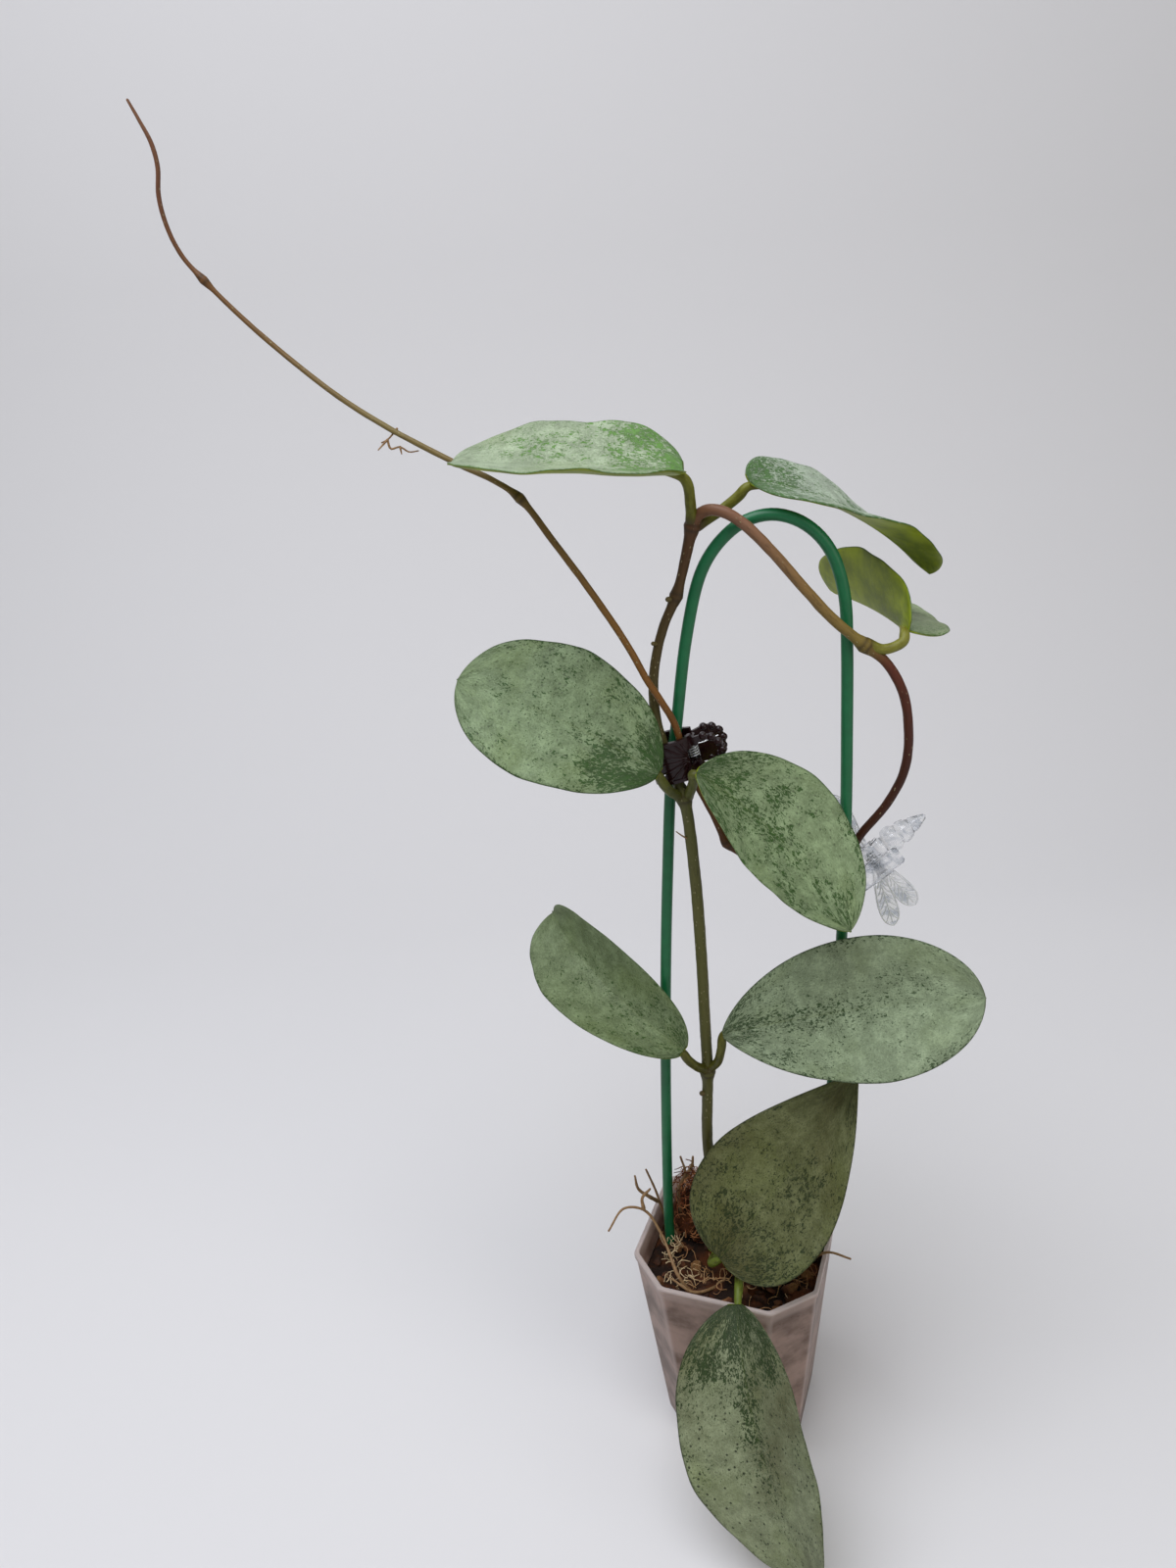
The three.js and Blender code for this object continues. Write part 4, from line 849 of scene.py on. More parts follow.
def make_blade(shape, leaf, look, tip_length):
    """A blade with its grooved upper face, its ribbed lower face and a thin margin."""
    rows, columns = look.blade_rows, look.blade_columns
    thickness, rib_width = look.blade_thickness / MM, look.rib_width / MM
    tip_share = 1 + tip_length / leaf["length"]
    shares = [tip_share * (1 - math.cos(math.pi * i / rows)) / 2 for i in range(rows + 1)]
    frames = midrib_frames(leaf, shares)
    steps = [2 * j / columns - 1 for j in range(columns + 1)]
    across = [math.copysign(0.55 * smooth(abs(t), 0, 1) + 0.45 * abs(t), t) for t in steps]
    middle = [[blade_point(leaf, f, v, tip_share, look) for v in across] for f in frames]
    ring_before = None
    for i in range(1, rows):
        share = shares[i]
        normals = []
        for j in range(columns + 1):
            a = middle[i][min(j + 1, columns)] - middle[i][max(j - 1, 0)]
            b = middle[i + 1][j] - middle[i - 1][j]
            normals.append(b.cross(a).normalized())
            if normals[-1].dot(frames[i][4]) < 0:
                normals[-1].negate()
        body = smooth(share, 0, 0.05) * smooth(tip_share - share, 0, 0.06)
        width = leaf["width"] / 2 * outline_fullness(leaf, share)

        def lifted(j, face):
            v = across[j]
            out = abs(v)
            half = thickness / 2 * math.sqrt(max(1 - out**7, 0)) * lerp(0.55, 1, body)
            rib = math.exp(-((out * width / rib_width) ** 2)) * body * lerp(1, 0.3, min(share, 1))
            half += (look.rib_height if face < 0 else -look.groove_depth) / MM * rib
            at = middle[i][j] + normals[j] * (face * half)
            place = (v * leaf["width"] / 2, share * leaf["length"], 0)
            return shape.point(at, place=place, spot=(out, share, (face + 1) / 2))

        ring = [lifted(j, 1) for j in range(columns, -1, -1)] + [lifted(j, -1) for j in range(1, columns)]
        if ring_before is None:
            pole = shape.point(frames[0][1], place=(0, 0, 0), spot=(0, 0, 0.5))
            shape.close_ring(ring, pole, False)
        else:
            shape.join_rings(ring_before, ring)
        ring_before = ring
    pole = shape.point(frames[-1][1], place=(0, leaf["length"], 0), spot=(0, 1, 0.5))
    shape.close_ring(ring_before, pole, True)


def make_petiole(shape, leaf, look):
    """The stalk, from inside the stem to under the blade's first tenth."""
    start, near = midrib_frames(leaf, [0, 0.1])
    under = near[1] - near[4] * (look.blade_thickness / MM / 2)
    foot = start[1] - start[4] * (look.petiole_drop / MM)
    points = even_points([*leaf["petiole"], foot, under], look.petiole_step / MM)
    total = run_lengths(points)[-1]

    def radius(i, run, angle):
        share = run / total
        swell = 0.45 * math.exp(-((run / 2.4) ** 2))
        taper = 1 - 0.58 * smooth(share, 0.6, 1)
        wobble = 0.05 * noise.noise(points[i] * 0.35)
        return look.petiole_radius / MM * (taper + swell * 0.5 + wobble)

    add_tube(shape, points, radius, look.petiole_sides, paint=1)


def leaf_material(name, marks, look):
    """Silver wax over green: flecks, patches and fine mottling of the green show through."""
    paint = Paint(name)
    place = paint.attribute("place")
    out, share, face = paint.parts(paint.attribute("spot"))
    x, _, _ = paint.parts(place)
    shift = sum(ord(letter) for letter in name) % 17 * 3.7
    flat = paint.vector("ADD", place, (shift, shift * 1.7, shift))
    silver, green = colour(marks["silver"]), colour(marks["green"])
    pale = tuple(min(1, c * 1.35 + 0.03) for c in silver[:3]) + (1,)
    deeper = tuple(c * 0.78 for c in silver[:3]) + (1,)
    # How much green is allowed here
    clusters = paint.noise(flat, 0.085, 3.0, 0.6)
    spread = clusters - 0.5
    near_base = 1 - paint.rise(share + spread * 0.9, 0.0, 0.5)
    near_rib = 1 - paint.rise(abs(x) + spread * 14, 1.0, 9.0)
    near_edge = paint.rise(out + spread * 0.3, 0.84, 1.02)
    fading = 1 - paint.rise(share, 0.4, 0.85) * 0.6
    allowed = paint.highest(near_base * marks["patch"], near_rib * fading * marks["band"])
    allowed = paint.highest(allowed, near_edge * marks["edge"])
    allowed = paint.highest(allowed, paint.rise(clusters, 0.42, 0.62) * marks["flecks"])
    # Fine mottling, a little drawn out along the veins
    grain = paint.noise(paint.stretch(flat, 1.55, 1.0, 1), 1.0, 3.0, 0.7, 0.5)
    blotch = paint.noise(paint.stretch(flat, 0.62, 0.42, 1), 1.0, 4.0, 0.7, 0.5)
    broken = grain * 0.6 + blotch * 0.4
    mottle = paint.rise(broken - 0.645 + allowed * 0.2, -0.01, 0.018)
    specks = paint.rise(paint.noise(paint.stretch(flat, 1.9, 1.5, 1), 1.0, 2.0, 0.6), 0.6, 0.66)
    margin = paint.rise(out + (grain - 0.5) * 0.12, 0.965, 1.0)
    shown = paint.highest(mottle * 0.92, specks * (0.3 + allowed * 0.6))
    shown = paint.highest(shown, margin * 0.6)
    # Wax
    cloud = paint.noise(flat, 0.2, 5.0, 0.68)
    wax = paint.mix(paint.rise(cloud, 0.34, 0.72), deeper, pale)
    rubbed = paint.rise(paint.noise(flat, 0.055, 2.0, 0.5), 0.45, 0.68)
    yellowed = tuple(lerp(s, g, 0.5) for s, g in zip(silver, colour("#66781F")))
    wax = paint.mix(rubbed * marks["rubbed"], wax, yellowed)
    wax = paint.mix(paint.rise(grain, 0.56, 0.38) * 0.55, wax, deeper)
    dusting = paint.rise(paint.noise(paint.stretch(flat, 2.3, 1.8, 1), 1.0, 3.0, 0.7), 0.52, 0.64)
    wax = paint.mix(dusting * marks["dust"], wax, pale)
    # Painted warm brown shade, strongest on the leaves near the pot and towards the blade's base
    brown = paint.rise(paint.noise(flat, 0.035, 1.0, 0.4) + x * 0.004 + (0.5 - share) * 0.1, 0.42, 0.7)
    wax = paint.mix(brown * marks["dull"], wax, colour("#403A16"))
    deep = paint.mix(paint.rise(blotch, 0.42, 0.62) * 0.7, green, tuple(c * 1.7 for c in green[:3]) + (1,))
    top = paint.mix(shown, wax, deep)
    # Crackled wax and drying marks
    bent = paint.vector("ADD", paint.stretch(flat, 0.42, 0.42, 1), paint.stretch(blotch, 1.1, 1.1, 0))
    edges = paint.cells(bent, 1.0, "DISTANCE_TO_EDGE")
    wander = paint.noise(paint.stretch(flat, 0.5, 0.34, 1), 1.0, 3.0, 0.6, 0.8)
    torn = paint.rise(paint.noise(flat, 0.16, 3.0, 0.6), 0.47, 0.6)
    scratch = 1 - paint.rise(abs(wander - 0.5), 0.002, 0.012)
    crackle = paint.highest((1 - paint.rise(edges, 0.012, 0.05)) * 0.7, scratch) * torn
    top = paint.mix(crackle * marks["crackle"] * 0.5, top, pale)
    # Midrib
    rib = (1 - paint.rise(abs(x), 0.1, 0.7)) * (1 - paint.rise(share, 0.1, 0.85) * 0.85)
    top = paint.mix(rib * 0.14, top, colour("#69743A"))
    # Pin dots
    near = paint.cells(flat, 0.3, dimensions="2D")
    pinned = paint.rise(paint.noise(flat, 0.13, 1.0), 0.44, 0.5) * paint.rise(share, 0.2, 0.42)
    dot = (1 - paint.rise(near + (grain - 0.5) * 0.1, 0.07, 0.12)) * pinned * marks["dots"]
    top = paint.mix(dot * 0.85, top, colour("#141C0A"))
    # Underside
    clouds = paint.rise(paint.noise(flat, 0.1, 4.0, 0.6), 0.3, 0.7)
    low = paint.mix(clouds, look.underside_deep, look.underside_pale)
    low = paint.mix(paint.rise(grain, 0.5, 0.75) * 0.3, low, colour("#7B8438"))
    low = paint.mix((1 - paint.rise(abs(x), 0.2, 1.0)) * 0.5, low, colour("#868E42"))
    upper = paint.rise(face, 0.35, 0.65)
    relief = (cloud * 0.9 + blotch * 0.35 + grain * 0.25 - mottle * 0.2 + crackle * 0.2) * upper
    return paint.finish(
        Base_Color=paint.mix(upper, low, top),
        Roughness=paint.limit(0.44 + cloud * 0.14 - mottle * 0.08),
        Normal=paint.bump(relief, 0.0005, 0.85),
        Specular_IOR_Level=0.24,
    )


def petiole_material(low, high):
    """An olive stalk that browns where it leaves the stem."""
    paint = Paint("petiole olive")
    place = paint.attribute("place")
    share, _, _ = paint.parts(paint.attribute("spot"))
    mottle = paint.noise(paint.stretch(place, 0.4, 0.9, 0.9), 1.0, 4.0, 0.65)
    shade = paint.mix(paint.rise(mottle + share * 0.3, 0.4, 0.85), colour(low), colour(high))
    shade = paint.mix(1 - paint.rise(share, 0.02, 0.16), shade, colour("#463B1A"))
    return paint.finish(
        Base_Color=shade, Roughness=0.45, Normal=paint.bump(mottle, 0.0003, 0.5),
        Specular_IOR_Level=0.25)


# Settings


def size_setting(name, description, length, least=0.0):
    """A size that the user can change, given here in millimetres."""
    return bpy.props.FloatProperty(
        name=name, description=description, default=length * MM, min=least * MM, unit="LENGTH")


def colour_setting(name, description, text):
    """A colour that the user can change."""
    return bpy.props.FloatVectorProperty(
        name=name, description=description, default=colour(text), size=4, min=0, max=1, subtype="COLOR")


def count_setting(name, description, default, least):
    """A number of steps or sides that the user can change."""
    return bpy.props.IntProperty(name=name, description=description, default=default, min=least)


class HoyaLeafLook(bpy.types.PropertyGroup):
    """Sizes and colours of the leaves"""

    blade_thickness: size_setting("Blade thickness", "Thickness of a blade at its middle", 1.2, 0.6)
    blade_rows: count_setting("Blade rows", "Steps from base to tip", 92, 12)
    blade_columns: count_setting("Blade columns", "Steps from margin to margin", 48, 8)
    fold_softness: bpy.props.FloatProperty(
        name="Fold softness", description="How round the fold along the midrib is", default=0.16, min=0.01,
        subtype="FACTOR")
    tip_width: size_setting("Tip width", "Half width of the drawn-out tip", 1.3)
    groove_depth: size_setting("Groove depth", "Depth of the midrib's groove", 0.32)
    rib_height: size_setting("Rib height", "Height of the midrib under the blade", 0.5)
    rib_width: size_setting("Rib width", "Half width of the midrib", 0.8, 0.1)
    petiole_radius: size_setting("Petiole radius", "Radius of a leaf stalk", 1.4, 0.2)
    petiole_drop: size_setting("Petiole drop", "How far under the blade a stalk meets it", 1.5)
    petiole_sides: count_setting("Petiole sides", "Sides of a leaf stalk", 16, 6)
    petiole_step: size_setting("Petiole step", "Length of one step of a leaf stalk", 0.6, 0.1)
    underside_deep: colour_setting("Underside, deep", "Deeper green of a blade's underside", "#5C6A05")
    underside_pale: colour_setting("Underside, pale", "Paler green of a blade's underside", "#8A981C")


class HoyaVineLook(bpy.types.PropertyGroup):
    """Sizes and colours of the stem and the roots"""

    sides: count_setting("Sides", "Sides of the stem", 18, 6)
    step: size_setting("Step", "Length of one step of the stem", 0.9, 0.1)
    node_reach: size_setting("Node reach", "How far a node's swelling runs along the stem", 2.1, 0.1)
    wobble: size_setting("Wobble", "Unevenness of the bark", 0.09)
    root_dark: colour_setting("Root, dark", "Darker brown of the roots", "#54371F")
    root_pale: colour_setting("Root, pale", "Paler brown of the roots", "#A3845C")


class HoyaHoopLook(bpy.types.PropertyGroup):
    """Size and colours of the wire hoop"""

    wire_radius: size_setting("Wire radius", "Radius of the coated wire", 1.65, 0.5)
    coating_deep: colour_setting("Coating, deep", "Deeper green of the coating", "#07522F")
    coating_bright: colour_setting("Coating, bright", "Brighter green of the coating", "#0B6A3C")


class HoyaPotLook(bpy.types.PropertyGroup):
    """Sizes and colours of the pot and what fills it"""

    corner_radius: size_setting("Corner radius", "Radius of the pot's upright corners", 2.6, 0.2)
    rim_lip: size_setting("Rim lip", "How far the rim stands out", 0.4)
    plastic: colour_setting("Plastic", "Colour of the frosted plastic", "#BFA294")
    damp_plastic: colour_setting("Damp plastic", "Colour of the plastic against damp bark", "#7E6353")
    # Painted highlight along the rim's upper edge
    rim_highlight: colour_setting("Rim", "Colour of the rim's upper edge", "#DDCFC9")
    soil_dark: colour_setting("Substrate, dark", "Darker colour of the substrate", "#1E1109")
    soil_brown: colour_setting("Substrate, brown", "Browner colour of the substrate", "#50290F")
    chips: bpy.props.FloatProperty(
        name="Chips", description="Bark chips on a square metre of the surface", default=52000, min=0)
    fibres: bpy.props.FloatProperty(
        name="Fibres", description="Fibres on a square metre of the surface", default=42000, min=0)


class HoyaClipLook(bpy.types.PropertyGroup):
    """Sizes and colours of the two clips"""

    claw_rounding: size_setting("Claw rounding", "Width of the claw clip's softened edges", 0.16)
    fly_rounding: size_setting("Dragonfly rounding", "Width of the dragonfly clip's softened edges", 0.14)
    pin_rounding: size_setting("Pin rounding", "Width of the pins' softened edges", 0.08)
    wing_line: size_setting("Wing line", "Radius of the raised lines on the wings", 0.2, 0.05)
    claw_deep: colour_setting("Claw, deep", "Deeper colour of the dark plastic", "#120506")
    claw_light: colour_setting("Claw, light", "Lighter colour of the dark plastic", "#260F10")
    steel: colour_setting("Steel", "Colour of the pins and the dragonfly clip's spring", "#C9CCD0")
    # The spring is painted paler than the steel, as painted light, since it sits in shade
    spring: colour_setting("Spring", "Colour of the claw clip's spring", "#F2F4F6")
    # Grey of the painted reflection streaks in the clear plastic
    clear: colour_setting("Clear plastic", "Colour of the clear plastic's moulding streaks", "#CDD2D8")


class HoyaStageLook(bpy.types.PropertyGroup):
    """Floor, lights and their colours"""

    backdrop: bpy.props.FloatProperty(
        name="Backdrop distance", description="How far behind the plant the floor turns up", default=0.75,
        min=0.5, unit="LENGTH")
    key_power: bpy.props.FloatProperty(
        name="Key light", description="Power of the large light overhead", default=13.5, min=0,
        unit="POWER")
    fill_power: bpy.props.FloatProperty(
        name="Fill light", description="Power of the fill light", default=3.4, min=0, unit="POWER")
    ambient: bpy.props.FloatProperty(
        name="Ambient", description="Strength of the even light all round", default=0.36, min=0)
    floor: colour_setting("Floor", "Colour of the floor and the backdrop", "#D6D5D4")
    key_tint: colour_setting("Key tint", "Colour of the large light overhead", "#F4F6FF")
    fill_tint: colour_setting("Fill tint", "Colour of the fill light", "#FFF6EA")
    sky: colour_setting("Ambient tint", "Colour of the even light all round", "#E4E6EA")


# Pieces


class HOYA_OT_leaves(bpy.types.Operator):
    """Make the nine leaves with their stalks"""

    bl_idname = "hoya.make_leaves"
    bl_label = "Make leaves"

    def execute(self, context):
        look = context.scene.hoya_leaf_look
        for node, leaf in LEAVES.items():
            stalk = petiole_material(*PETIOLE_COLOURS[node.split("_")[1]])
            shape = Shape()
            make_blade(shape, leaf, look, LEAF_MARKS[node]["tip"])
            make_petiole(shape, leaf, look)
            blade = leaf_material(node.replace("_", " "), LEAF_MARKS[node], look)
            piece = add_object(node + "_look", shape.mesh(node, [blade, stalk]))
            settle(piece, "plant", "hoya_leaf", node)
        return {"FINISHED"}


def vine_material(look):
    """Olive stem that browns towards the tip, with pale specks and rings at the nodes."""
    paint = Paint("vine bark")
    place = paint.attribute("place")
    share, ring, kind = paint.parts(paint.attribute("spot"))
    fine = curve_points(VINE_ROUTE)
    lengths = run_lengths(fine)
    stops = [(lengths[i * 16] / lengths[-1], colour(text)) for i, text in VINE_COLOURS]
    bark = paint.ramp(share, stops)
    fleck = paint.noise(paint.stretch(place, 0.22, 1.1, 1.1), 1.0, 4.0, 0.65)
    bark = paint.mix(paint.rise(fleck, 0.5, 0.75) * 0.45, bark, colour("#2A1E10"))
    pale = paint.cells(paint.stretch(place, 0.5, 1.2, 1.2), 1.0)
    specks = (1 - paint.rise(pale, 0.13, 0.2)) * paint.rise(paint.noise(place, 0.12, 1.0), 0.42, 0.55)
    bark = paint.mix(specks * 0.6, bark, colour("#A39A72"))
    bark = paint.mix(ring * 0.75, bark, colour("#2C2110"))
    root = paint.mix(paint.noise(paint.here(), 900.0, 3.0), look.root_dark, look.root_pale)
    height = fleck * 0.6 + specks * 0.5
    return paint.finish(
        Base_Color=paint.mix(kind, bark, root), Roughness=0.48, Normal=paint.bump(height, 0.0004, 0.7),
        Specular_IOR_Level=0.25)


def add_root(shape, route, thick, thin):
    """An uneven root that thins towards its end, painted as root."""
    first = len(shape.points)
    line = even_points(route, 0.7)
    total = run_lengths(line)[-1]

    def radius(i, run, angle):
        uneven = 0.16 * noise.fractal(line[i] * 0.4, 0.9, 2.0, 2)
        return lerp(thick, thin, run / total) * (1 + uneven)

    add_tube(shape, line, radius, 10)
    shape.mark(first, (0.2, 0, 1))


class HOYA_OT_vine(bpy.types.Operator):
    """Make the stem with its nodes, stubs and roots"""

    bl_idname = "hoya.make_vine"
    bl_label = "Make vine"

    def execute(self, context):
        look = context.scene.hoya_vine_look
        points = even_points(VINE_ROUTE, look.step / MM)
        reach, wobble = look.node_reach / MM, look.wobble / MM
        runs = run_lengths(points)
        nodes = []
        for x, y, z, swell in VINE_NODES:
            nearest = min(range(len(points)), key=lambda i: (points[i] - Vector((x, y, z))).length)
            nodes.append((runs[nearest], swell))

        def radius(i, run, angle):
            made = base = at_stops(VINE_TAPER, run / runs[-1])
            for where, swell in nodes:
                away = abs(run - where)
                if away < 9:
                    made += (swell - base) * math.exp(-((away / reach) ** 2))
                    made -= 0.18 * base / 2 * math.exp(-(((away - 1.1) / 0.45) ** 2))
            side = Vector((math.cos(angle), math.sin(angle), 0))
            lump = noise.fractal(side * 0.9 + Vector((run * 0.16, run * 0.05, run * 0.22)), 0.9, 2.0, 3)
            return made + wobble * lump * base / 1.8

        shape = Shape()
        add_tube(shape, points, radius, look.sides)
        for i, value in shape.notes["spot"].items():
            run = value[0] * runs[-1]
            ring = max(math.exp(-(((abs(run - where) - 1.1) / 0.5) ** 2)) for where, _ in nodes)
            shape.notes["spot"][i] = (value[0], ring, 0)
        for (x, y, z, swell), foot in VINE_STUBS:
            first = len(shape.points)
            add_tube(shape, even_points([foot, (x, y, z)], 0.3), lambda i, run, angle: swell * 0.85, 12)
            shape.mark(first, (0.2, 0.5, 0.2))
        for routes, radii in ((ROOTLETS, ROOTLET_RADII), (SOIL_ROOTS, SOIL_ROOT_RADII)):
            for route in routes:
                add_root(shape, route, *radii)
        piece = add_object("vine_look", shape.mesh("vine", [vine_material(look)]))
        settle(piece, "plant", "vine_bark", "vine")
        return {"FINISHED"}


class HOYA_OT_hoop(bpy.types.Operator):
    """Make the coated wire hoop"""

    bl_idname = "hoya.make_hoop"
    bl_label = "Make hoop"

    def execute(self, context):
        look = context.scene.hoya_hoop_look
        wire_radius = look.wire_radius / MM
        plane_x, plane_y, slope = HOOP_PLANE
        route = [(x, plane_y + slope * (x - plane_x), z) for x, z in HOOP_ROUTE]
        shape = Shape()
        add_tube(shape, even_points(route, 1.6), lambda i, run, angle: wire_radius, 24)
        paint = Paint("green wire coating")
        uneven = paint.noise(paint.here(), 260.0, 3.0)
        satin = paint.finish(
            Base_Color=paint.mix(uneven, look.coating_deep, look.coating_bright), Roughness=0.46,
            Normal=paint.bump(uneven, 0.0003, 0.3), Coat_Weight=0.1, Coat_Roughness=0.25,
            Specular_IOR_Level=0.4)
        piece = add_object("hoop_look", shape.mesh("hoop", [satin]))
        settle(piece, "plant", "green_wire", "hoop")
        return {"FINISHED"}


def pot_section(half, radius, flats=6, arc=5):
    """The pot's outline at one height, as it stands: a square with cut corners, softened by a radius."""
    flat = half - POT_CORNER * half / POT_HALF_WIDTH / math.sqrt(2)
    corners = [
        (flat, -half), (half, -flat), (half, flat), (flat, half), (-flat, half), (-half, flat),
        (-half, -flat), (-flat, -half),
    ]
    points = []
    for i, corner in enumerate(corners):
        at = Vector(corner)
        before = (Vector(corners[i - 1]) - at).normalized()
        after = (Vector(corners[(i + 1) % 8]) - at).normalized()
        cut = radius * math.tan((math.pi - before.angle(after)) / 2)
        start, end = at + before * cut, at + after * cut
        for k in range(arc + 1):
            t = k / arc
            points.append(start * (1 - t) ** 2 + at * 2 * t * (1 - t) + end * t * t)
        following = Vector(corners[(i + 1) % 8])
        near_following = following + (at - following).normalized() * cut
        for k in range(1, flats):
            points.append(end.lerp(near_following, k / flats))
    return [Matrix.Rotation(POT_TURN, 2) @ p for p in points]


def pot_half(z, inset=0):
    """Half the pot's width at a height, or less by an inset."""
    return POT_HALF_WIDTH * (POT_FOOT_SCALE + (1 - POT_FOOT_SCALE) * z / POT_HEIGHT) - inset


def pot_ring(shape, z, inset, radius):
    half = pot_half(z, inset)
    return [shape.point((x, y, z)) for x, y in pot_section(half, min(radius, half * 0.3))]


def pot_material(look):
    """Frosted plastic, paler along the upright edges, darker where damp bark touches, with painted light on
    the wall above the substrate and a painted highlight on the rim's top.
    """
    paint = Paint("frosted pot plastic")
    here = paint.here()
    turned = paint.node(
        "ShaderNodeVectorRotate", {"rotation_type": "Z_AXIS"}, {"Vector": here, "Angle": -POT_TURN})
    x, y, z = paint.parts(turned)
    grown = POT_FOOT_SCALE + z * ((1 - POT_FOOT_SCALE) / POT_HEIGHT / MM)
    half = grown * (POT_HALF_WIDTH * MM)
    cut = grown * ((POT_HALF_WIDTH * math.sqrt(2) - POT_CORNER / 2) * MM)
    straight = paint.highest(abs(x), abs(y)) / half
    slanted = (abs(x) + abs(y)) * math.sqrt(0.5) / cut
    edge = paint.rise(paint.math("MINIMUM", straight, slanted), 0.965, 0.995)
    damp = paint.noise(paint.stretch(here, 1, 1, 1.4), 70.0, 4.0, 0.6)
    cloud = paint.noise(here, 28.0, 3.0)
    crumbs = paint.rise(paint.noise(here, 420.0, 4.0, 0.7), 0.58, 0.7)
    shade = paint.mix(paint.rise(damp, 0.36, 0.66), look.plastic, look.damp_plastic)
    shade = paint.mix(crumbs * paint.rise(damp, 0.4, 0.6) * 0.45, shade, colour("#4A3222"))
    shade = paint.mix(edge * 0.5, shade, colour("#DCCBC4"))
    # Painted light: the wall is paler above the substrate
    shade = paint.mix(paint.rise(z, 0.0662, 0.0685) * 0.6, shade, colour("#CDB7AC"))
    # Painted highlight on the rim's top
    shade = paint.mix(paint.rise(z, 0.0708, 0.0717), shade, look.rim_highlight)
    return paint.finish(
        Base_Color=shade,
        Roughness=paint.limit(0.32 + cloud * 0.16),
        Transmission_Weight=0.5,
        IOR=1.35,
        Normal=paint.bump(cloud, 0.0006, 0.25),
        Specular_IOR_Level=0.4,
    )


class HOYA_OT_pot(bpy.types.Operator):
    """Make the frosted pot"""

    bl_idname = "hoya.make_pot"
    bl_label = "Make pot"

    def execute(self, context):
        look = context.scene.hoya_pot_look
        round_off, lip = look.corner_radius / MM, look.rim_lip / MM
        outside = POT_FOOT + [(lerp(1, 69, i / 12), 0) for i in range(1, 13)] + [(69.5, -0.08)]
        outside += [(z, -lip * share) for z, share in POT_RIM_OUTSIDE]
        inside = [(z, POT_WALL * share) for z, share in POT_RIM_INSIDE]
        inside += [(lerp(71.5, 2.6, i / 12), POT_WALL) for i in range(1, 13)] + POT_FLOOR_EDGE
        shape = Shape()
        sections = [(0, 16), (0, 8), (0, 3)] + outside + inside
        sections += [(POT_FLOOR, 4), (POT_FLOOR, 9), (POT_FLOOR, 16)]
        rings = [pot_ring(shape, z, inset, round_off) for z, inset in sections]
        shape.join_all(rings, shape.point((0, 0, 0)), shape.point((0, 0, POT_FLOOR)))
        body = shape.mesh_in_mm("pot")
        length, width, reach = POT_SLOT
        cuts = []
        for i in range(4):
            cut = block(reach - length / 2, reach + length / 2, -width / 2, width / 2, -3, 3)
            cuts.append(("DIFFERENCE", moved(cut, Matrix.Rotation(POT_TURN + i * math.pi / 2, 4, "Z"))))
        body = in_order(combine(body, *cuts))
        for face in body.polygons:
            face.use_smooth = True
        body.set_sharp_from_angle(angle=40 * DEGREE)
        piece = placed(body, "pot_look", Matrix.Identity(4), pot_material(look))
        settle(piece, "plant", "clear_pot", "pot")
        return {"FINISHED"}


def node_in(tree, kind, settings=(), inputs=()):
    """A node of a geometry tree, with its settings and then its inputs: values or sockets."""
    made = tree.nodes.new(kind)
    for name, value in dict(settings).items():
        setattr(made, name, value)
    for name, value in dict(inputs).items():
        if isinstance(value, bpy.types.NodeSocket):
            tree.links.new(value, made.inputs[name])
        else:
            made.inputs[name].default_value = value
    return made


def shaken(tree, geometry, scale, detail, amount):
    """Pushes a geometry's points about by noise, in metres."""
    uneven = node_in(tree, "ShaderNodeTexNoise", (), {"Scale": scale, "Detail": detail})
    centred = node_in(tree, "ShaderNodeVectorMath", {"operation": "SUBTRACT"}, {
        0: uneven.outputs["Color"], 1: (0.5, 0.5, 0.5)})
    push = node_in(tree, "ShaderNodeVectorMath", {"operation": "SCALE"}, {
        0: centred.outputs[0], "Scale": amount})
    pushed = node_in(tree, "GeometryNodeSetPosition", (), {"Geometry": geometry, "Offset": push.outputs[0]})
    return pushed.outputs[0]


def scatter_tree(name, build_item, seed, turn_low, turn_high):
    """A geometry tree that strews items over a ground mesh and joins them into one mesh."""
    tree = bpy.data.node_groups.new(name, "GeometryNodeTree")
    for port, kind in (
        ("Ground", "Geometry"), ("Density", "Float"), ("Smallest", "Vector"), ("Largest", "Vector"),
        ("Finish", "Material"),
    ):
        tree.interface.new_socket(port, in_out="INPUT", socket_type="NodeSocket" + kind)
    tree.interface.new_socket("Strewn", in_out="OUTPUT", socket_type="NodeSocketGeometry")
    given = tree.nodes.new("NodeGroupInput").outputs
    points = node_in(tree, "GeometryNodeDistributePointsOnFaces", (), {
        "Mesh": given["Ground"], "Density": given["Density"], "Seed": seed})
    turn = node_in(tree, "FunctionNodeRandomValue", {"data_type": "FLOAT_VECTOR"}, {
        0: turn_low, 1: turn_high, "Seed": seed + 1})
    scale = node_in(tree, "FunctionNodeRandomValue", {"data_type": "FLOAT_VECTOR"}, {
        0: given["Smallest"], 1: given["Largest"], "Seed": seed + 2})
    items = node_in(tree, "GeometryNodeInstanceOnPoints", (), {
        "Points": points.outputs["Points"], "Instance": build_item(tree), "Rotation": turn.outputs[0],
        "Scale": scale.outputs[0]})
    real = node_in(tree, "GeometryNodeRealizeInstances", (), {"Geometry": items.outputs[0]})
    bent = shaken(tree, real.outputs[0], 260.0, 2.0, 0.0016)
    soft = node_in(tree, "GeometryNodeSetShadeSmooth", (), {0: bent})
    shown = node_in(tree, "GeometryNodeSetMaterial", (), {
        "Geometry": soft.outputs[0], "Material": given["Finish"]})
    tree.links.new(shown.outputs[0], tree.nodes.new("NodeGroupOutput").inputs[0])
    return tree


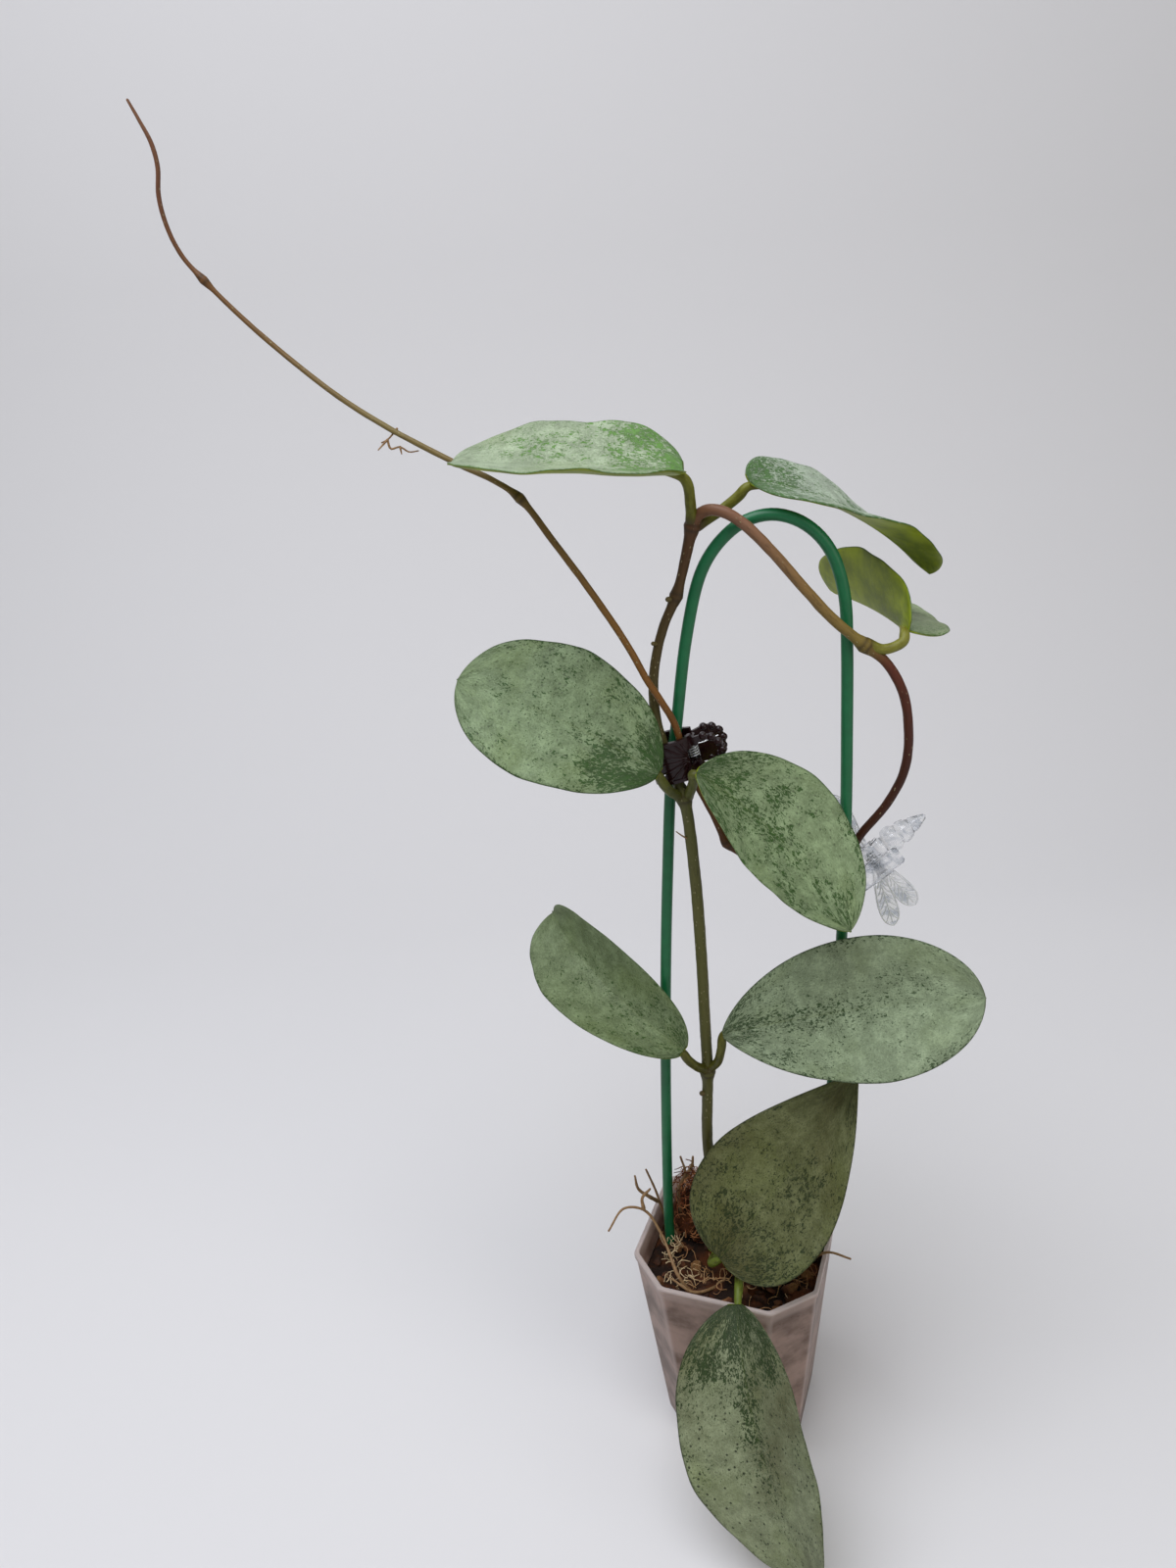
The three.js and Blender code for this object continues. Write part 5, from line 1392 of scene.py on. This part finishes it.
def chip_item(tree):
    """A lump of bark about 2 mm across before scaling."""
    ball = node_in(tree, "GeometryNodeMeshIcoSphere", (), {"Radius": 0.001, "Subdivisions": 3})
    return shaken(tree, ball.outputs[0], 900.0, 1.0, 0.0013)


def fibre_item(tree):
    """A curled fibre, about 9 mm long before scaling."""
    curl = node_in(tree, "GeometryNodeCurveSpiral", (), {
        "Resolution": 14, "Rotations": 0.55, "Start Radius": 0.0035, "End Radius": 0.0016, "Height": 0.003})
    ring = node_in(tree, "GeometryNodeCurvePrimitiveCircle", (), {"Resolution": 6, "Radius": 0.00016})
    made = node_in(tree, "GeometryNodeCurveToMesh", (), {
        "Curve": curl.outputs[0], "Profile Curve": ring.outputs[0], "Fill Caps": True})
    return made.outputs[0]


def strew(name, ground, tree, finish, density, sizes):
    """Runs a scatter tree over a ground mesh and adds the plain mesh that it makes."""
    carrier = add_object("work", ground)
    modifier = carrier.modifiers.new("strew", "NODES")
    modifier.node_group = tree
    given = {"Density": density, "Smallest": sizes[0], "Largest": sizes[1], "Finish": finish}
    for port in tree.interface.items_tree:
        if port.name in given:
            modifier[port.identifier] = given[port.name]
    graph = bpy.context.evaluated_depsgraph_get()
    made = bpy.data.meshes.new_from_object(carrier.evaluated_get(graph), depsgraph=graph)
    bpy.data.objects.remove(carrier)
    made.name = name
    settle(add_object(name, made), "plant", "bark_substrate")


def soil_point(x, y):
    """A point of the substrate's uneven surface."""
    at = Vector((x, y, 0))
    bumps = 1.7 * noise.fractal(at * 0.11, 0.9, 2.0, 4) + 1.1 * noise.cell(at * 0.22)
    return x, y, SOIL_TOP + (bumps - 0.3)


def soil_material(look):
    paint = Paint("dark substrate")
    here = paint.here()
    grain = paint.noise(here, 380.0, 5.0, 0.65)
    patches = paint.noise(here, 120.0, 2.0)
    shade = paint.mix(paint.rise(patches, 0.42, 0.62), look.soil_dark, look.soil_brown)
    shade = paint.mix(paint.rise(grain, 0.62, 0.8) * 0.5, shade, colour("#8A6A42"))
    return paint.finish(
        Base_Color=shade, Roughness=0.92, Normal=paint.bump(grain, 0.0016, 0.9), Specular_IOR_Level=0.25)


def chip_material():
    paint = Paint("bark chips")
    here = paint.here()
    kind = paint.noise(here, 95.0, 1.0)
    grain = paint.noise(paint.stretch(here, 1, 1, 2.5), 700.0, 4.0, 0.6)
    stops = ((0.32, "#1D110A"), (0.46, "#3A2214"), (0.56, "#5B331B"), (0.66, "#7E5A34"))
    shade = paint.ramp(kind, [(at, colour(text)) for at, text in stops])
    shade = paint.mix(paint.rise(grain, 0.5, 0.75) * 0.5, shade, colour("#170D07"))
    return paint.finish(
        Base_Color=shade, Roughness=0.85, Normal=paint.bump(grain, 0.0009, 0.8), Specular_IOR_Level=0.3)


def coir_material(name, grain, stops, **finish):
    """Loose plant fibres, whose colour drifts through a ramp's stops."""
    paint = Paint(name)
    kind = paint.noise(paint.here(), *grain)
    shade = paint.ramp(kind, [(at, colour(text)) for at, text in stops])
    return paint.finish(Base_Color=shade, **finish)


def soil_side(shape, z, inset):
    """A ring of the substrate's side, drawn in unevenly from the pot's wall."""
    ring = []
    for x, y in pot_section(pot_half(z, inset), 2, flats=10, arc=3):
        at = Vector((x, y, z))
        at.xy *= 1 - 0.55 * abs(noise.fractal(at * 0.16, 0.9, 2.0, 3)) / 30
        ring.append(shape.point(at))
    return ring


def soil_body():
    """The substrate as one lump, with the old root balls that stand on it."""
    shape = Shape()
    bottom = POT_FLOOR + 0.3
    rings = [soil_side(shape, bottom, inset) for inset in (14, 7, SOIL_GAP + 0.6)]
    rings += [soil_side(shape, lerp(2.4, SOIL_TOP - 1.5, i / 22), SOIL_GAP) for i in range(23)]
    for k in range(1, 15):
        scale = 1 - k / 15
        outline = pot_section(pot_half(SOIL_TOP, SOIL_GAP) * scale, 2 * scale, flats=10, arc=3)
        rings.append([shape.point(soil_point(x, y)) for x, y in outline])
    shape.join_all(rings, shape.point((0, 0, bottom)), shape.point(soil_point(0, 0)))
    for centre, radii in SOIL_LUMPS:
        add_ball(shape, centre, radii, 26, 34, rough=0.22)
    return shape


def soil_ground():
    """The surface that chips and fibres lie on, from its middle outwards."""
    ground = Shape()
    middle = ground.point(soil_point(0, 0))
    rings = []
    for k in range(1, 7):
        outline = pot_section((pot_half(SOIL_TOP) - SOIL_GAP - 2.2) * k / 6, 2)
        rings.append([ground.point(soil_point(x, y)) for x, y in outline])
    ground.close_ring(rings[0], middle, True)
    for inner, outer in zip(rings, rings[1:]):
        ground.join_rings(outer, inner)
    return ground.mesh("ground")


class HOYA_OT_substrate(bpy.types.Operator):
    """Fill the pot with bark and coir"""

    bl_idname = "hoya.make_substrate"
    bl_label = "Make substrate"

    def execute(self, context):
        look = context.scene.hoya_pot_look
        piece = add_object("substrate_look", soil_body().mesh("substrate", [soil_material(look)]))
        settle(piece, "plant", "bark_substrate", "soil")
        full = 2 * math.pi
        chips = scatter_tree("Bark chips", chip_item, 5, (-0.5, -0.5, 0), (0.5, 0.5, full))
        strew("bark_chips", soil_ground(), chips, chip_material(), look.chips, CHIP_SIZES)
        fibres = scatter_tree("Coir fibres", fibre_item, 23, (0, 0, 0), (full, full, full))
        tan = coir_material(
            "coir fibres", (60.0, 1.0), [(0.35, "#7A4526"), (0.48, "#A67C4E"), (0.62, "#D3BC92")],
            Roughness=0.7)
        strew("surface_fibres", soil_ground(), fibres, tan, look.fibres, FIBRE_SIZES)
        red = coir_material(
            "matted red coir", (240.0, 2.0), [(0.36, "#3A1A0C"), (0.5, "#6E3A1F"), (0.64, "#A9744A")],
            Roughness=0.8, Specular_IOR_Level=0.2)
        for name, balls, share, finish in (
            ("clump_fibres", COIR_CLUMPS, COIR_DENSITY, red), ("tan_tufts", TAN_TUFTS, TUFT_DENSITY, tan),
        ):
            clump = Shape()
            for centre, radii in balls:
                add_ball(clump, centre, radii, 16, 20)
            strew(name, clump.mesh("clump"), fibres, finish, look.fibres * share, FIBRE_SIZES)
        return {"FINISHED"}


def dark_plastic(look):
    paint = Paint("dark clip plastic")
    uneven = paint.noise(paint.here(), 420.0, 2.0)
    return paint.finish(
        Base_Color=paint.mix(uneven, look.claw_deep, look.claw_light), Roughness=0.24,
        Normal=paint.bump(uneven, 0.0002, 0.2), Specular_IOR_Level=0.35)


def worn_steel(name, shade, metallic, least):
    """Steel whose gloss wears unevenly, from a least roughness up."""
    paint = Paint(name)
    worn = paint.noise(paint.here(), 900.0, 2.0)
    return paint.finish(Base_Color=shade, Metallic=metallic, Roughness=paint.limit(least + worn * 0.15))


def clear_plastic(look):
    """Clear plastic with grey streaks painted in as reflections, whose bumps bend the light unevenly."""
    paint = Paint("clear clip plastic")
    here = paint.here()
    haze = paint.noise(here, 500.0, 2.0)
    streaks = paint.noise(paint.stretch(here, 1, 1, 1.6), 260.0, 2.0, 0.5, 1.2)
    # Painted reflection: grey streaks stand in for a darker surround seen in the plastic
    shade = paint.mix(paint.rise(streaks, 0.4, 0.56), look.clear, colour("#FFFFFF"))
    return paint.finish(
        Base_Color=shade, Roughness=paint.limit(0.04 + haze * 0.1), Transmission_Weight=0.9, IOR=1.46,
        Normal=paint.bump(streaks, 0.0006, 0.25))


def highlight_line_plastic():
    """The thin raised lines painted near white, a painted highlight where the light catches them."""
    paint = Paint("raised clear lines")
    haze = paint.noise(paint.here(), 700.0, 2.0)
    return paint.finish(
        Base_Color=colour("#FBFCFD"), Roughness=paint.limit(0.12 + haze * 0.1), Transmission_Weight=0.3,
        IOR=1.46)


def claw_basis():
    """The claw's own directions: along to its tabs, away from the camera, and up its pin."""
    across = Vector((1, HOOP_PLANE[2], 0)).normalized()
    up = Vector((0, 0, 1))
    away = up.cross(across)
    lean = Matrix.Rotation(-CLAW_TILT, 3, away)
    return basis_of(lean @ across, away, lean @ up, CLAW_HINGE)


def rounded_window(middle, half_length, half_height, corners=20, squareness=0.6):
    """A rounded oblong in x and y, centred at a place along x."""
    ring = []
    for k in range(corners):
        angle = -2 * math.pi * k / corners
        along, up = math.cos(angle), math.sin(angle)
        ring.append((
            middle + half_length * math.copysign(abs(along) ** squareness, along),
            half_height * math.copysign(abs(up) ** squareness, up)))
    return ring


def claw_tab(side):
    """A finger tab with a scalloped edge, standing on the hinge and leaning to one side."""
    centre = CLAW_TAB_LENGTH - CLAW_TAB_RADIUS
    outline = [(0, -CLAW_TAB_RADIUS)]
    lobes = []
    for i in range(CLAW_SCALLOPS):
        turn = (i / (CLAW_SCALLOPS - 1) - 0.5) * math.pi
        lobes.append((centre + CLAW_TAB_RADIUS * math.cos(turn), CLAW_TAB_RADIUS * math.sin(turn)))
    for x, y in lobes:
        out = math.atan2(y, x - centre)
        for k in range(-4, 5):
            turn = out + k * 0.3
            outline.append((
                x + CLAW_SCALLOP_RADIUS * math.cos(turn), y + CLAW_SCALLOP_RADIUS * math.sin(turn)))
    outline.append((0, CLAW_TAB_RADIUS))
    holes = [rounded_window(*CLAW_WINDOW)] if side < 0 else []
    tab = plate(outline, -CLAW_PLATE / 2, CLAW_PLATE / 2, holes)
    bead_radii = (CLAW_SCALLOP_RADIUS, CLAW_SCALLOP_RADIUS, CLAW_BEAD_HEIGHT)
    tab = combine(tab, *(("UNION", closed_ball((x, y, 0), bead_radii)) for x, y in lobes))
    stand = Matrix.Rotation(math.pi / 2, 4, "X")
    lean = Matrix.Rotation(side * CLAW_TAB_SPREAD, 4, "Z")
    return moved(tab, Matrix.Translation((0.2, side * CLAW_TAB_ROOT, 0)) @ lean @ stand)


def fan_rib(jaw, side, turn):
    """A raised rib on the outer face of a jaw: the ribs spread like those of a shell."""
    line = curve_points([(x, y, 0) for x, y in jaw], 8)
    runs = run_lengths(line)
    made = []
    for k in range(CLAW_RIB_STEPS + 1):
        reach = CLAW_RIB_START + CLAW_RIB_LENGTH * k / CLAW_RIB_STEPS
        run, z = CLAW_FAN_START + reach * math.cos(turn), reach * math.sin(turn)
        if run > runs[-1] - 0.3 or abs(z) > CLAW_HALF_HEIGHT - 0.3:
            break
        i = min(range(1, len(line) - 1), key=lambda n: abs(runs[n] - run))
        along = (line[i + 1] - line[i - 1]).normalized()
        out = Vector((-along.y, along.x, 0)) * (1 if along.x * side > 0 else -1)
        made.append(line[i] + out * (CLAW_PLATE / 2) + Vector((0, 0, z)))
    shape = Shape()
    add_tube(shape, made, lambda i, run, angle: CLAW_RIB_RADIUS + CLAW_RIB_GROWTH * i / len(made), 8)
    return shape.mesh_in_mm("rib")


def claw_half(side, jaw, rounding):
    """One half: a curved, toothed jaw with its fan and thick edges, two ears on the pin and a tab."""
    high = CLAW_HALF_HEIGHT
    steps = []
    for i in range(CLAW_RIBS):
        steps.append(("UNION", fan_rib(jaw, side, (i - CLAW_RIBS // 2) * CLAW_RIB_TURN)))
    raised = [(x, y + side * CLAW_EDGE_RISE) for x, y in jaw[1:]]
    for z in (-high + CLAW_EDGE_INSET, high - CLAW_EDGE_INSET):
        steps.append(("UNION", band(raised, CLAW_PLATE, z - CLAW_EDGE_HALF, z + CLAW_EDGE_HALF)))
    pitch, half_gap = 2 * high / CLAW_TEETH, CLAW_TOOTH_GAP / 2
    for i in range(1, CLAW_TEETH):
        z = -high + pitch * i
        steps.append(("DIFFERENCE", block(-15, CLAW_TOOTH_START, -9, 9, z - half_gap, z + half_gap)))
    steps.append(("UNION", claw_tab(side)))
    if side < 0:
        steps.append(("DIFFERENCE", block(*CLAW_COIL_ROOM)))
    for end in (-1, 1):
        z = end * CLAW_EARS[side]
        low, top = z - CLAW_EAR_THICKNESS / 2, z + CLAW_EAR_THICKNESS / 2
        reach = side * (CLAW_TAB_ROOT + 0.3)
        steps.append(("UNION", rod(CLAW_EAR_RADIUS, low, top)))
        steps.append(("UNION", block(-0.7, 1.3, min(0, reach), max(0, reach), low, top)))
    steps.append(("DIFFERENCE", rod(CLAW_BORE_RADIUS, -9, 9)))
    return rounded(combine(band(jaw, CLAW_PLATE, -high, high), *steps), rounding)


def spring_mesh(name, radius, wire, half, turns, legs, basis, material):
    """A wound spring about the hinge, with straight legs."""
    shape = Shape()
    count = int(turns * 20)
    coil = []
    for i in range(count + 1):
        angle = 2 * math.pi * turns * i / count
        rise = lerp(-half, half, i / count)
        coil.append(Vector((radius * math.cos(angle), radius * math.sin(angle), rise)))
    add_tube(shape, coil, lambda i, run, angle: wire, 8)
    for leg in legs:
        add_tube(shape, even_points(leg, 0.5), lambda i, run, angle: wire, 10)
    return placed(shape.mesh_in_mm(name), name, basis, material)


class HOYA_OT_claw_clip(bpy.types.Operator):
    """Make the small claw clip"""

    bl_idname = "hoya.make_claw_clip"
    bl_label = "Make claw clip"

    def execute(self, context):
        look = context.scene.hoya_clip_look
        basis, plastic, rounding = claw_basis(), dark_plastic(look), look.claw_rounding / MM
        near = placed(claw_half(-1, CLAW_NEAR_JAW, rounding), "claw_near_look", basis, plastic)
        settle(near, "plant", "dark_plastic", "claw_near_half")
        far = placed(claw_half(1, CLAW_FAR_JAW, rounding), "claw_far_look", basis, plastic)
        settle(far, "claw_jaw", "dark_plastic", "claw_far_half")
        end = CLAW_EARS[-1] + CLAW_EAR_THICKNESS / 2
        pin = rounded(rod(CLAW_PIN_RADIUS, -end, end, 20), look.pin_rounding / MM)
        steel = worn_steel("claw pin steel", look.steel, 1.0, 0.2)
        settle(placed(pin, "claw_pin_look", basis, steel), "plant", "clip_steel", "claw_pin")
        # Painted light: the spring's wire is paler than the pin's steel
        bright = worn_steel("bright spring wire", look.spring, 0.6, 0.3)
        spring = spring_mesh("claw_spring_look", *CLAW_SPRING, [CLAW_SPRING_LEG], basis, bright)
        settle(spring, "claw_jaw", "clip_steel", "claw_spring")
        return {"FINISHED"}


def fly_basis():
    """The dragonfly's own directions: along to its tail, across, and out of its flat underside."""
    tail = Vector((math.cos(FLY_PITCH), 0, math.sin(FLY_PITCH)))
    out = Vector((0, -1, 0))
    return basis_of(tail, out.cross(tail), out, FLY_HINGE)


def bezier(p0, p1, p2, p3, count):
    """Points of a smooth curve from the first to the last point, without its end."""
    made = []
    for k in range(count):
        t = k / count
        made.append(p0 * (1 - t) ** 3 + p1 * 3 * t * (1 - t) ** 2 + p2 * 3 * t * t * (1 - t) + p3 * t**3)
    return made


def wing_outline(length, shrink=0.0):
    """A leaf-shaped wing that is narrow at its root and widest past the middle."""
    half = FLY_WING_WIDTH / 2 - shrink
    reach = length - shrink
    corners = [(0, 1 - shrink), (length * 0.45, half * 0.5), (length * 0.9, half * 1.75), (reach, 0)]
    upper = bezier(*(Vector(p) for p in corners), 18)
    lower = bezier(*(Vector((x, -y)) for x, y in reversed(corners)), 18)
    return [tuple(p) for p in upper + lower + [Vector((0, shrink - 1))]]


def wing_place(angle, side):
    turn = Matrix.Rotation(side * (math.pi / 2 - angle), 4, "Z")
    return Matrix.Translation((0, side * 1.6, -FLY_FAR - 1.4)) @ turn


def fly_wing(length, angle, side):
    wing = plate(wing_outline(length)[::-1], 0, FLY_WING_THICKNESS)
    return moved(wing, wing_place(angle, side))


def wing_lines(length, angle, side, radius):
    """The raised rim of a wing, its middle vein and the slanting veins beside it."""
    shape = Shape()
    top = FLY_WING_THICKNESS
    rim = [(x, y, top) for x, y in wing_outline(length, 0.3)[1:-2]]
    lines = [rim, [(1, 0, top), (length * 0.5, 0, top), (length - 1.5, 0, top)]]
    for k in range(6):
        x = length * (0.3 + 0.1 * k)
        for way in (-1, 1):
            spread = FLY_WING_WIDTH / 2 * (0.42 + 0.09 * k if k < 5 else 0.6)
            lines.append([
                (x, way * 0.3, top), (x + length * 0.08, way * spread * 0.6, top),
                (x + length * 0.12, way * spread, top)])
    for line in lines:
        add_tube(shape, even_points(line, 0.5), lambda i, run, angle: radius, 8)
    return moved(shape.mesh_in_mm("lines"), wing_place(angle, side))


def closed_ball(centre, radii):
    shape = Shape()
    add_ball(shape, centre, radii, 12, 18)
    return shape.mesh_in_mm("ball")


def fly_tail(back):
    """The segmented tail, turned about its own line."""
    shape = Shape()
    line = curve_points([(along, r, 0) for r, along in FLY_TAIL_PROFILE[1:-1]], 3)
    turns = [2 * math.pi * j / 24 for j in range(24)]
    rings = [[shape.point((p.x, p.y * math.cos(t), p.y * math.sin(t))) for t in turns] for p in line]
    shape.join_all(rings, shape.point((0, 0, 0)), shape.point((FLY_TAIL_PROFILE[-1][1], 0, 0)))
    return moved(shape.mesh_in_mm("tail"), Matrix.Translation((FLY_TAIL_START, 0, back + 0.6)))


def fly_bore():
    return moved(rod(FLY_BORE_RADIUS, -6, 6, 20), Matrix.Rotation(math.pi / 2, 4, "X"))


def fly_jaw_end():
    """The outline round a jaw's neck and hooked tip, from the left of the neck to its right."""
    half, tip = FLY_HALF_WIDTH, FLY_JAW_HALF_TIP
    neck, reach = -FLY_JAW_NECK, -FLY_JAW_REACH
    return [(neck, half), (neck - 1.2, tip), (reach, tip), (reach, -tip), (neck - 1.2, -tip), (neck, -half)]


def fly_body(rounding):
    """The far jaw with its hook, ears, wings, thorax, head and tail."""
    half, tip, reach = FLY_HALF_WIDTH, FLY_JAW_HALF_TIP, FLY_JAW_REACH
    back = -FLY_FAR - FLY_PLATE
    outline = [(4, -half), (4, half), *fly_jaw_end()]
    steps = [("UNION", block(-reach, -reach + FLY_HOOK, -tip, tip, back, -1))]
    for side in (-1, 1):
        y = min(side * half, side * (half - FLY_EAR))
        steps.append(("UNION", block(-1.6, 1.6, y, y + FLY_EAR, back, 1.6)))
        for length, angle in FLY_WINGS:
            steps.append(("UNION", fly_wing(length, angle, side)))
    steps += [
        ("UNION", closed_ball((0, 0, back), FLY_THORAX)),
        ("UNION", closed_ball((FLY_HEAD_AT, 0, back), FLY_HEAD_RADII)),
        ("UNION", fly_tail(back)), ("DIFFERENCE", fly_bore()),
    ]
    return rounded(combine(plate(outline[::-1], back, -FLY_FAR), *steps), rounding, angle=38)


def fly_jaw(rounding):
    """The near jaw with its hook, ears and short ribbed finger lever."""
    half, tip, reach, lever = FLY_HALF_WIDTH, FLY_JAW_HALF_TIP, FLY_JAW_REACH, FLY_LEVER_REACH
    top = FLY_NEAR + FLY_PLATE
    outline = [
        (lever, -half + 1.4), (lever, half - 1.4), (lever - 0.8, half - 0.6), (3, half - 0.6), (3, half),
        *fly_jaw_end(), (3, -half), (3, -half + 0.6), (lever - 0.8, -half + 0.6),
    ]
    steps = [("UNION", block(-reach, -reach + FLY_HOOK, -tip, tip, -0.6, top))]
    inner = half - FLY_EAR - FLY_EAR_PLAY
    for side in (-1, 1):
        y = min(side * inner, side * (inner - 0.8))
        steps.append(("UNION", block(-1.5, 1.5, y, y + 0.8, -1.3, top)))
    for x in FLY_GRIP_BARS:
        steps.append(("UNION", block(x, x + 0.5, -half + 1.2, half - 1.2, top - 0.2, top + 0.25)))
    steps.append(("DIFFERENCE", fly_bore()))
    return rounded(combine(plate(outline[::-1], FLY_NEAR, top), *steps), rounding, angle=38)


class HOYA_OT_dragonfly_clip(bpy.types.Operator):
    """Make the clear dragonfly clip"""

    bl_idname = "hoya.make_dragonfly_clip"
    bl_label = "Make dragonfly clip"

    def execute(self, context):
        look = context.scene.hoya_clip_look
        basis, clear, rounding = fly_basis(), clear_plastic(look), look.fly_rounding / MM
        body = placed(fly_body(rounding), "dragonfly_look", basis, clear)
        settle(body, "plant", "clear_plastic", "dragonfly_body")
        # The wing lines carry a painted highlight
        line_highlight = highlight_line_plastic()
        for side, way in ((-1, "right"), (1, "left")):
            for k, (length, angle) in enumerate(FLY_WINGS, 1):
                lines = wing_lines(length, angle, side, look.wing_line / MM)
                lines = placed(lines, f"wing_lines_{way}_{k}", basis, line_highlight)
                settle(lines, "plant", "clear_plastic")
        jaw = placed(fly_jaw(rounding), "dragonfly_lever_look", basis, clear)
        settle(jaw, "dragonfly_lever", "clear_plastic", "dragonfly_jaw")
        stand = basis @ Matrix.Rotation(math.pi / 2, 4, "X")
        steel = worn_steel("dragonfly pin steel", look.steel, 1.0, 0.2)
        pin = rounded(rod(FLY_PIN_RADIUS, -FLY_HALF_WIDTH, FLY_HALF_WIDTH, 20), look.pin_rounding / MM)
        settle(placed(pin, "dragonfly_pin_look", stand, steel), "plant", "clip_steel", "dragonfly_pin")
        spring = spring_mesh("dragonfly_spring_look", *FLY_SPRING, [], stand, steel)
        settle(spring, "dragonfly_lever", "clip_steel", "dragonfly_spring")
        return {"FINISHED"}


def add_lamp(name, spot, power, shade):
    """A soft rectangular light at its place, turned to what it is aimed at."""
    at, aim, size = spot
    light = bpy.data.lights.new(name, "AREA")
    light.shape = "RECTANGLE"
    light.size, light.size_y = size
    light.energy = power
    light.color = shade[:3]
    lamp = add_object(name, light)
    lamp.location = at
    lamp.rotation_euler = (Vector(aim) - Vector(at)).to_track_quat("-Z", "Y").to_euler()


def floor_mesh(back, material):
    """A floor that bends up into a backdrop, in metres."""
    bend = FLOOR_BEND
    profile = [(lerp(FLOOR_FRONT, back - bend, i / 4), 0.0) for i in range(5)]
    for i in range(1, 13):
        turn = math.pi / 2 * i / 12
        profile.append((back - bend + bend * math.sin(turn), bend - bend * math.cos(turn)))
    profile.append((back, BACKDROP_TOP))
    points = [(x, y, z) for y, z in profile for x in (-FLOOR_HALF_WIDTH, FLOOR_HALF_WIDTH)]
    faces = [(2 * i, 2 * i + 1, 2 * i + 3, 2 * i + 2) for i in range(len(profile) - 1)]
    mesh = bpy.data.meshes.new("floor")
    mesh.from_pydata(points, [], faces)
    mesh.polygons.foreach_set("use_smooth", [True] * len(faces))
    mesh.materials.append(material)
    return mesh


def add_camera():
    """The camera as it was held: pitched down and rolled a little."""
    lens = bpy.data.cameras.new("camera")
    lens.sensor_fit = "HORIZONTAL"
    lens.sensor_width = 36
    lens.lens = CAMERA_LENS
    lens.clip_start = 0.01
    camera = add_object("camera", lens)
    forward = Vector((0, math.cos(CAMERA_PITCH), -math.sin(CAMERA_PITCH)))
    up = Vector((0, math.sin(CAMERA_PITCH), math.cos(CAMERA_PITCH)))
    roll = Matrix.Rotation(CAMERA_ROLL, 3, forward)
    camera.matrix_world = basis_of(roll @ Vector((1, 0, 0)), roll @ up, -forward, CAMERA_AT)
    return camera


class HOYA_OT_stage(bpy.types.Operator):
    """Set the pale floor, the soft light and the camera"""

    bl_idname = "hoya.set_stage"
    bl_label = "Set stage"

    def execute(self, context):
        look = context.scene.hoya_stage_look
        paint = Paint("pale backdrop")
        matt = paint.finish(Base_Color=look.floor, Roughness=0.9, Specular_IOR_Level=0.1)
        add_object("floor", floor_mesh(look.backdrop, matt))
        add_lamp("key light", KEY_LIGHT, look.key_power, look.key_tint)
        add_lamp("fill light", FILL_LIGHT, look.fill_power, look.fill_tint)
        world = bpy.data.worlds.new("studio")
        world.use_nodes = True
        background = world.node_tree.nodes["Background"]
        background.inputs["Color"].default_value = look.sky
        background.inputs["Strength"].default_value = look.ambient
        context.scene.world = world
        context.scene.view_settings.view_transform = "Standard"
        context.scene.camera = add_camera()
        return {"FINISHED"}


class HOYA_PT_panel(bpy.types.Panel):
    """The hoya's settings and the buttons that build it"""

    bl_label = "Potted hoya"
    bl_idname = "HOYA_PT_panel"
    bl_space_type = "VIEW_3D"
    bl_region_type = "UI"
    bl_category = "Hoya"

    def draw(self, context):
        for name, look, operators in GROUPS:
            box = self.layout.box()
            for key in look.__annotations__:
                box.prop(getattr(context.scene, name), key)
            for operator in operators:
                box.operator(operator.bl_idname)


# Each group of settings, with the operators that read it
GROUPS = [
    ("hoya_stage_look", HoyaStageLook, [HOYA_OT_stage]),
    ("hoya_pot_look", HoyaPotLook, [HOYA_OT_pot, HOYA_OT_substrate]),
    ("hoya_hoop_look", HoyaHoopLook, [HOYA_OT_hoop]),
    ("hoya_vine_look", HoyaVineLook, [HOYA_OT_vine]),
    ("hoya_leaf_look", HoyaLeafLook, [HOYA_OT_leaves]),
    ("hoya_clip_look", HoyaClipLook, [HOYA_OT_claw_clip, HOYA_OT_dragonfly_clip]),
]
CLASSES = [cls for _, look, operators in GROUPS for cls in (look, *operators)] + [HOYA_PT_panel]


def register():
    for cls in CLASSES:
        bpy.utils.register_class(cls)
    for name, look, _ in GROUPS:
        setattr(bpy.types.Scene, name, bpy.props.PointerProperty(type=look))


def unregister():
    for name, _, _ in GROUPS:
        delattr(bpy.types.Scene, name)
    for cls in reversed(CLASSES):
        bpy.utils.unregister_class(cls)


def main():
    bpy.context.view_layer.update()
    register()
    bpy.ops.hoya.set_stage()
    bpy.ops.hoya.make_pot()
    bpy.ops.hoya.make_substrate()
    bpy.ops.hoya.make_hoop()
    bpy.ops.hoya.make_vine()
    bpy.ops.hoya.make_leaves()
    bpy.ops.hoya.make_claw_clip()
    bpy.ops.hoya.make_dragonfly_clip()


if __name__ == "__main__":
    main()
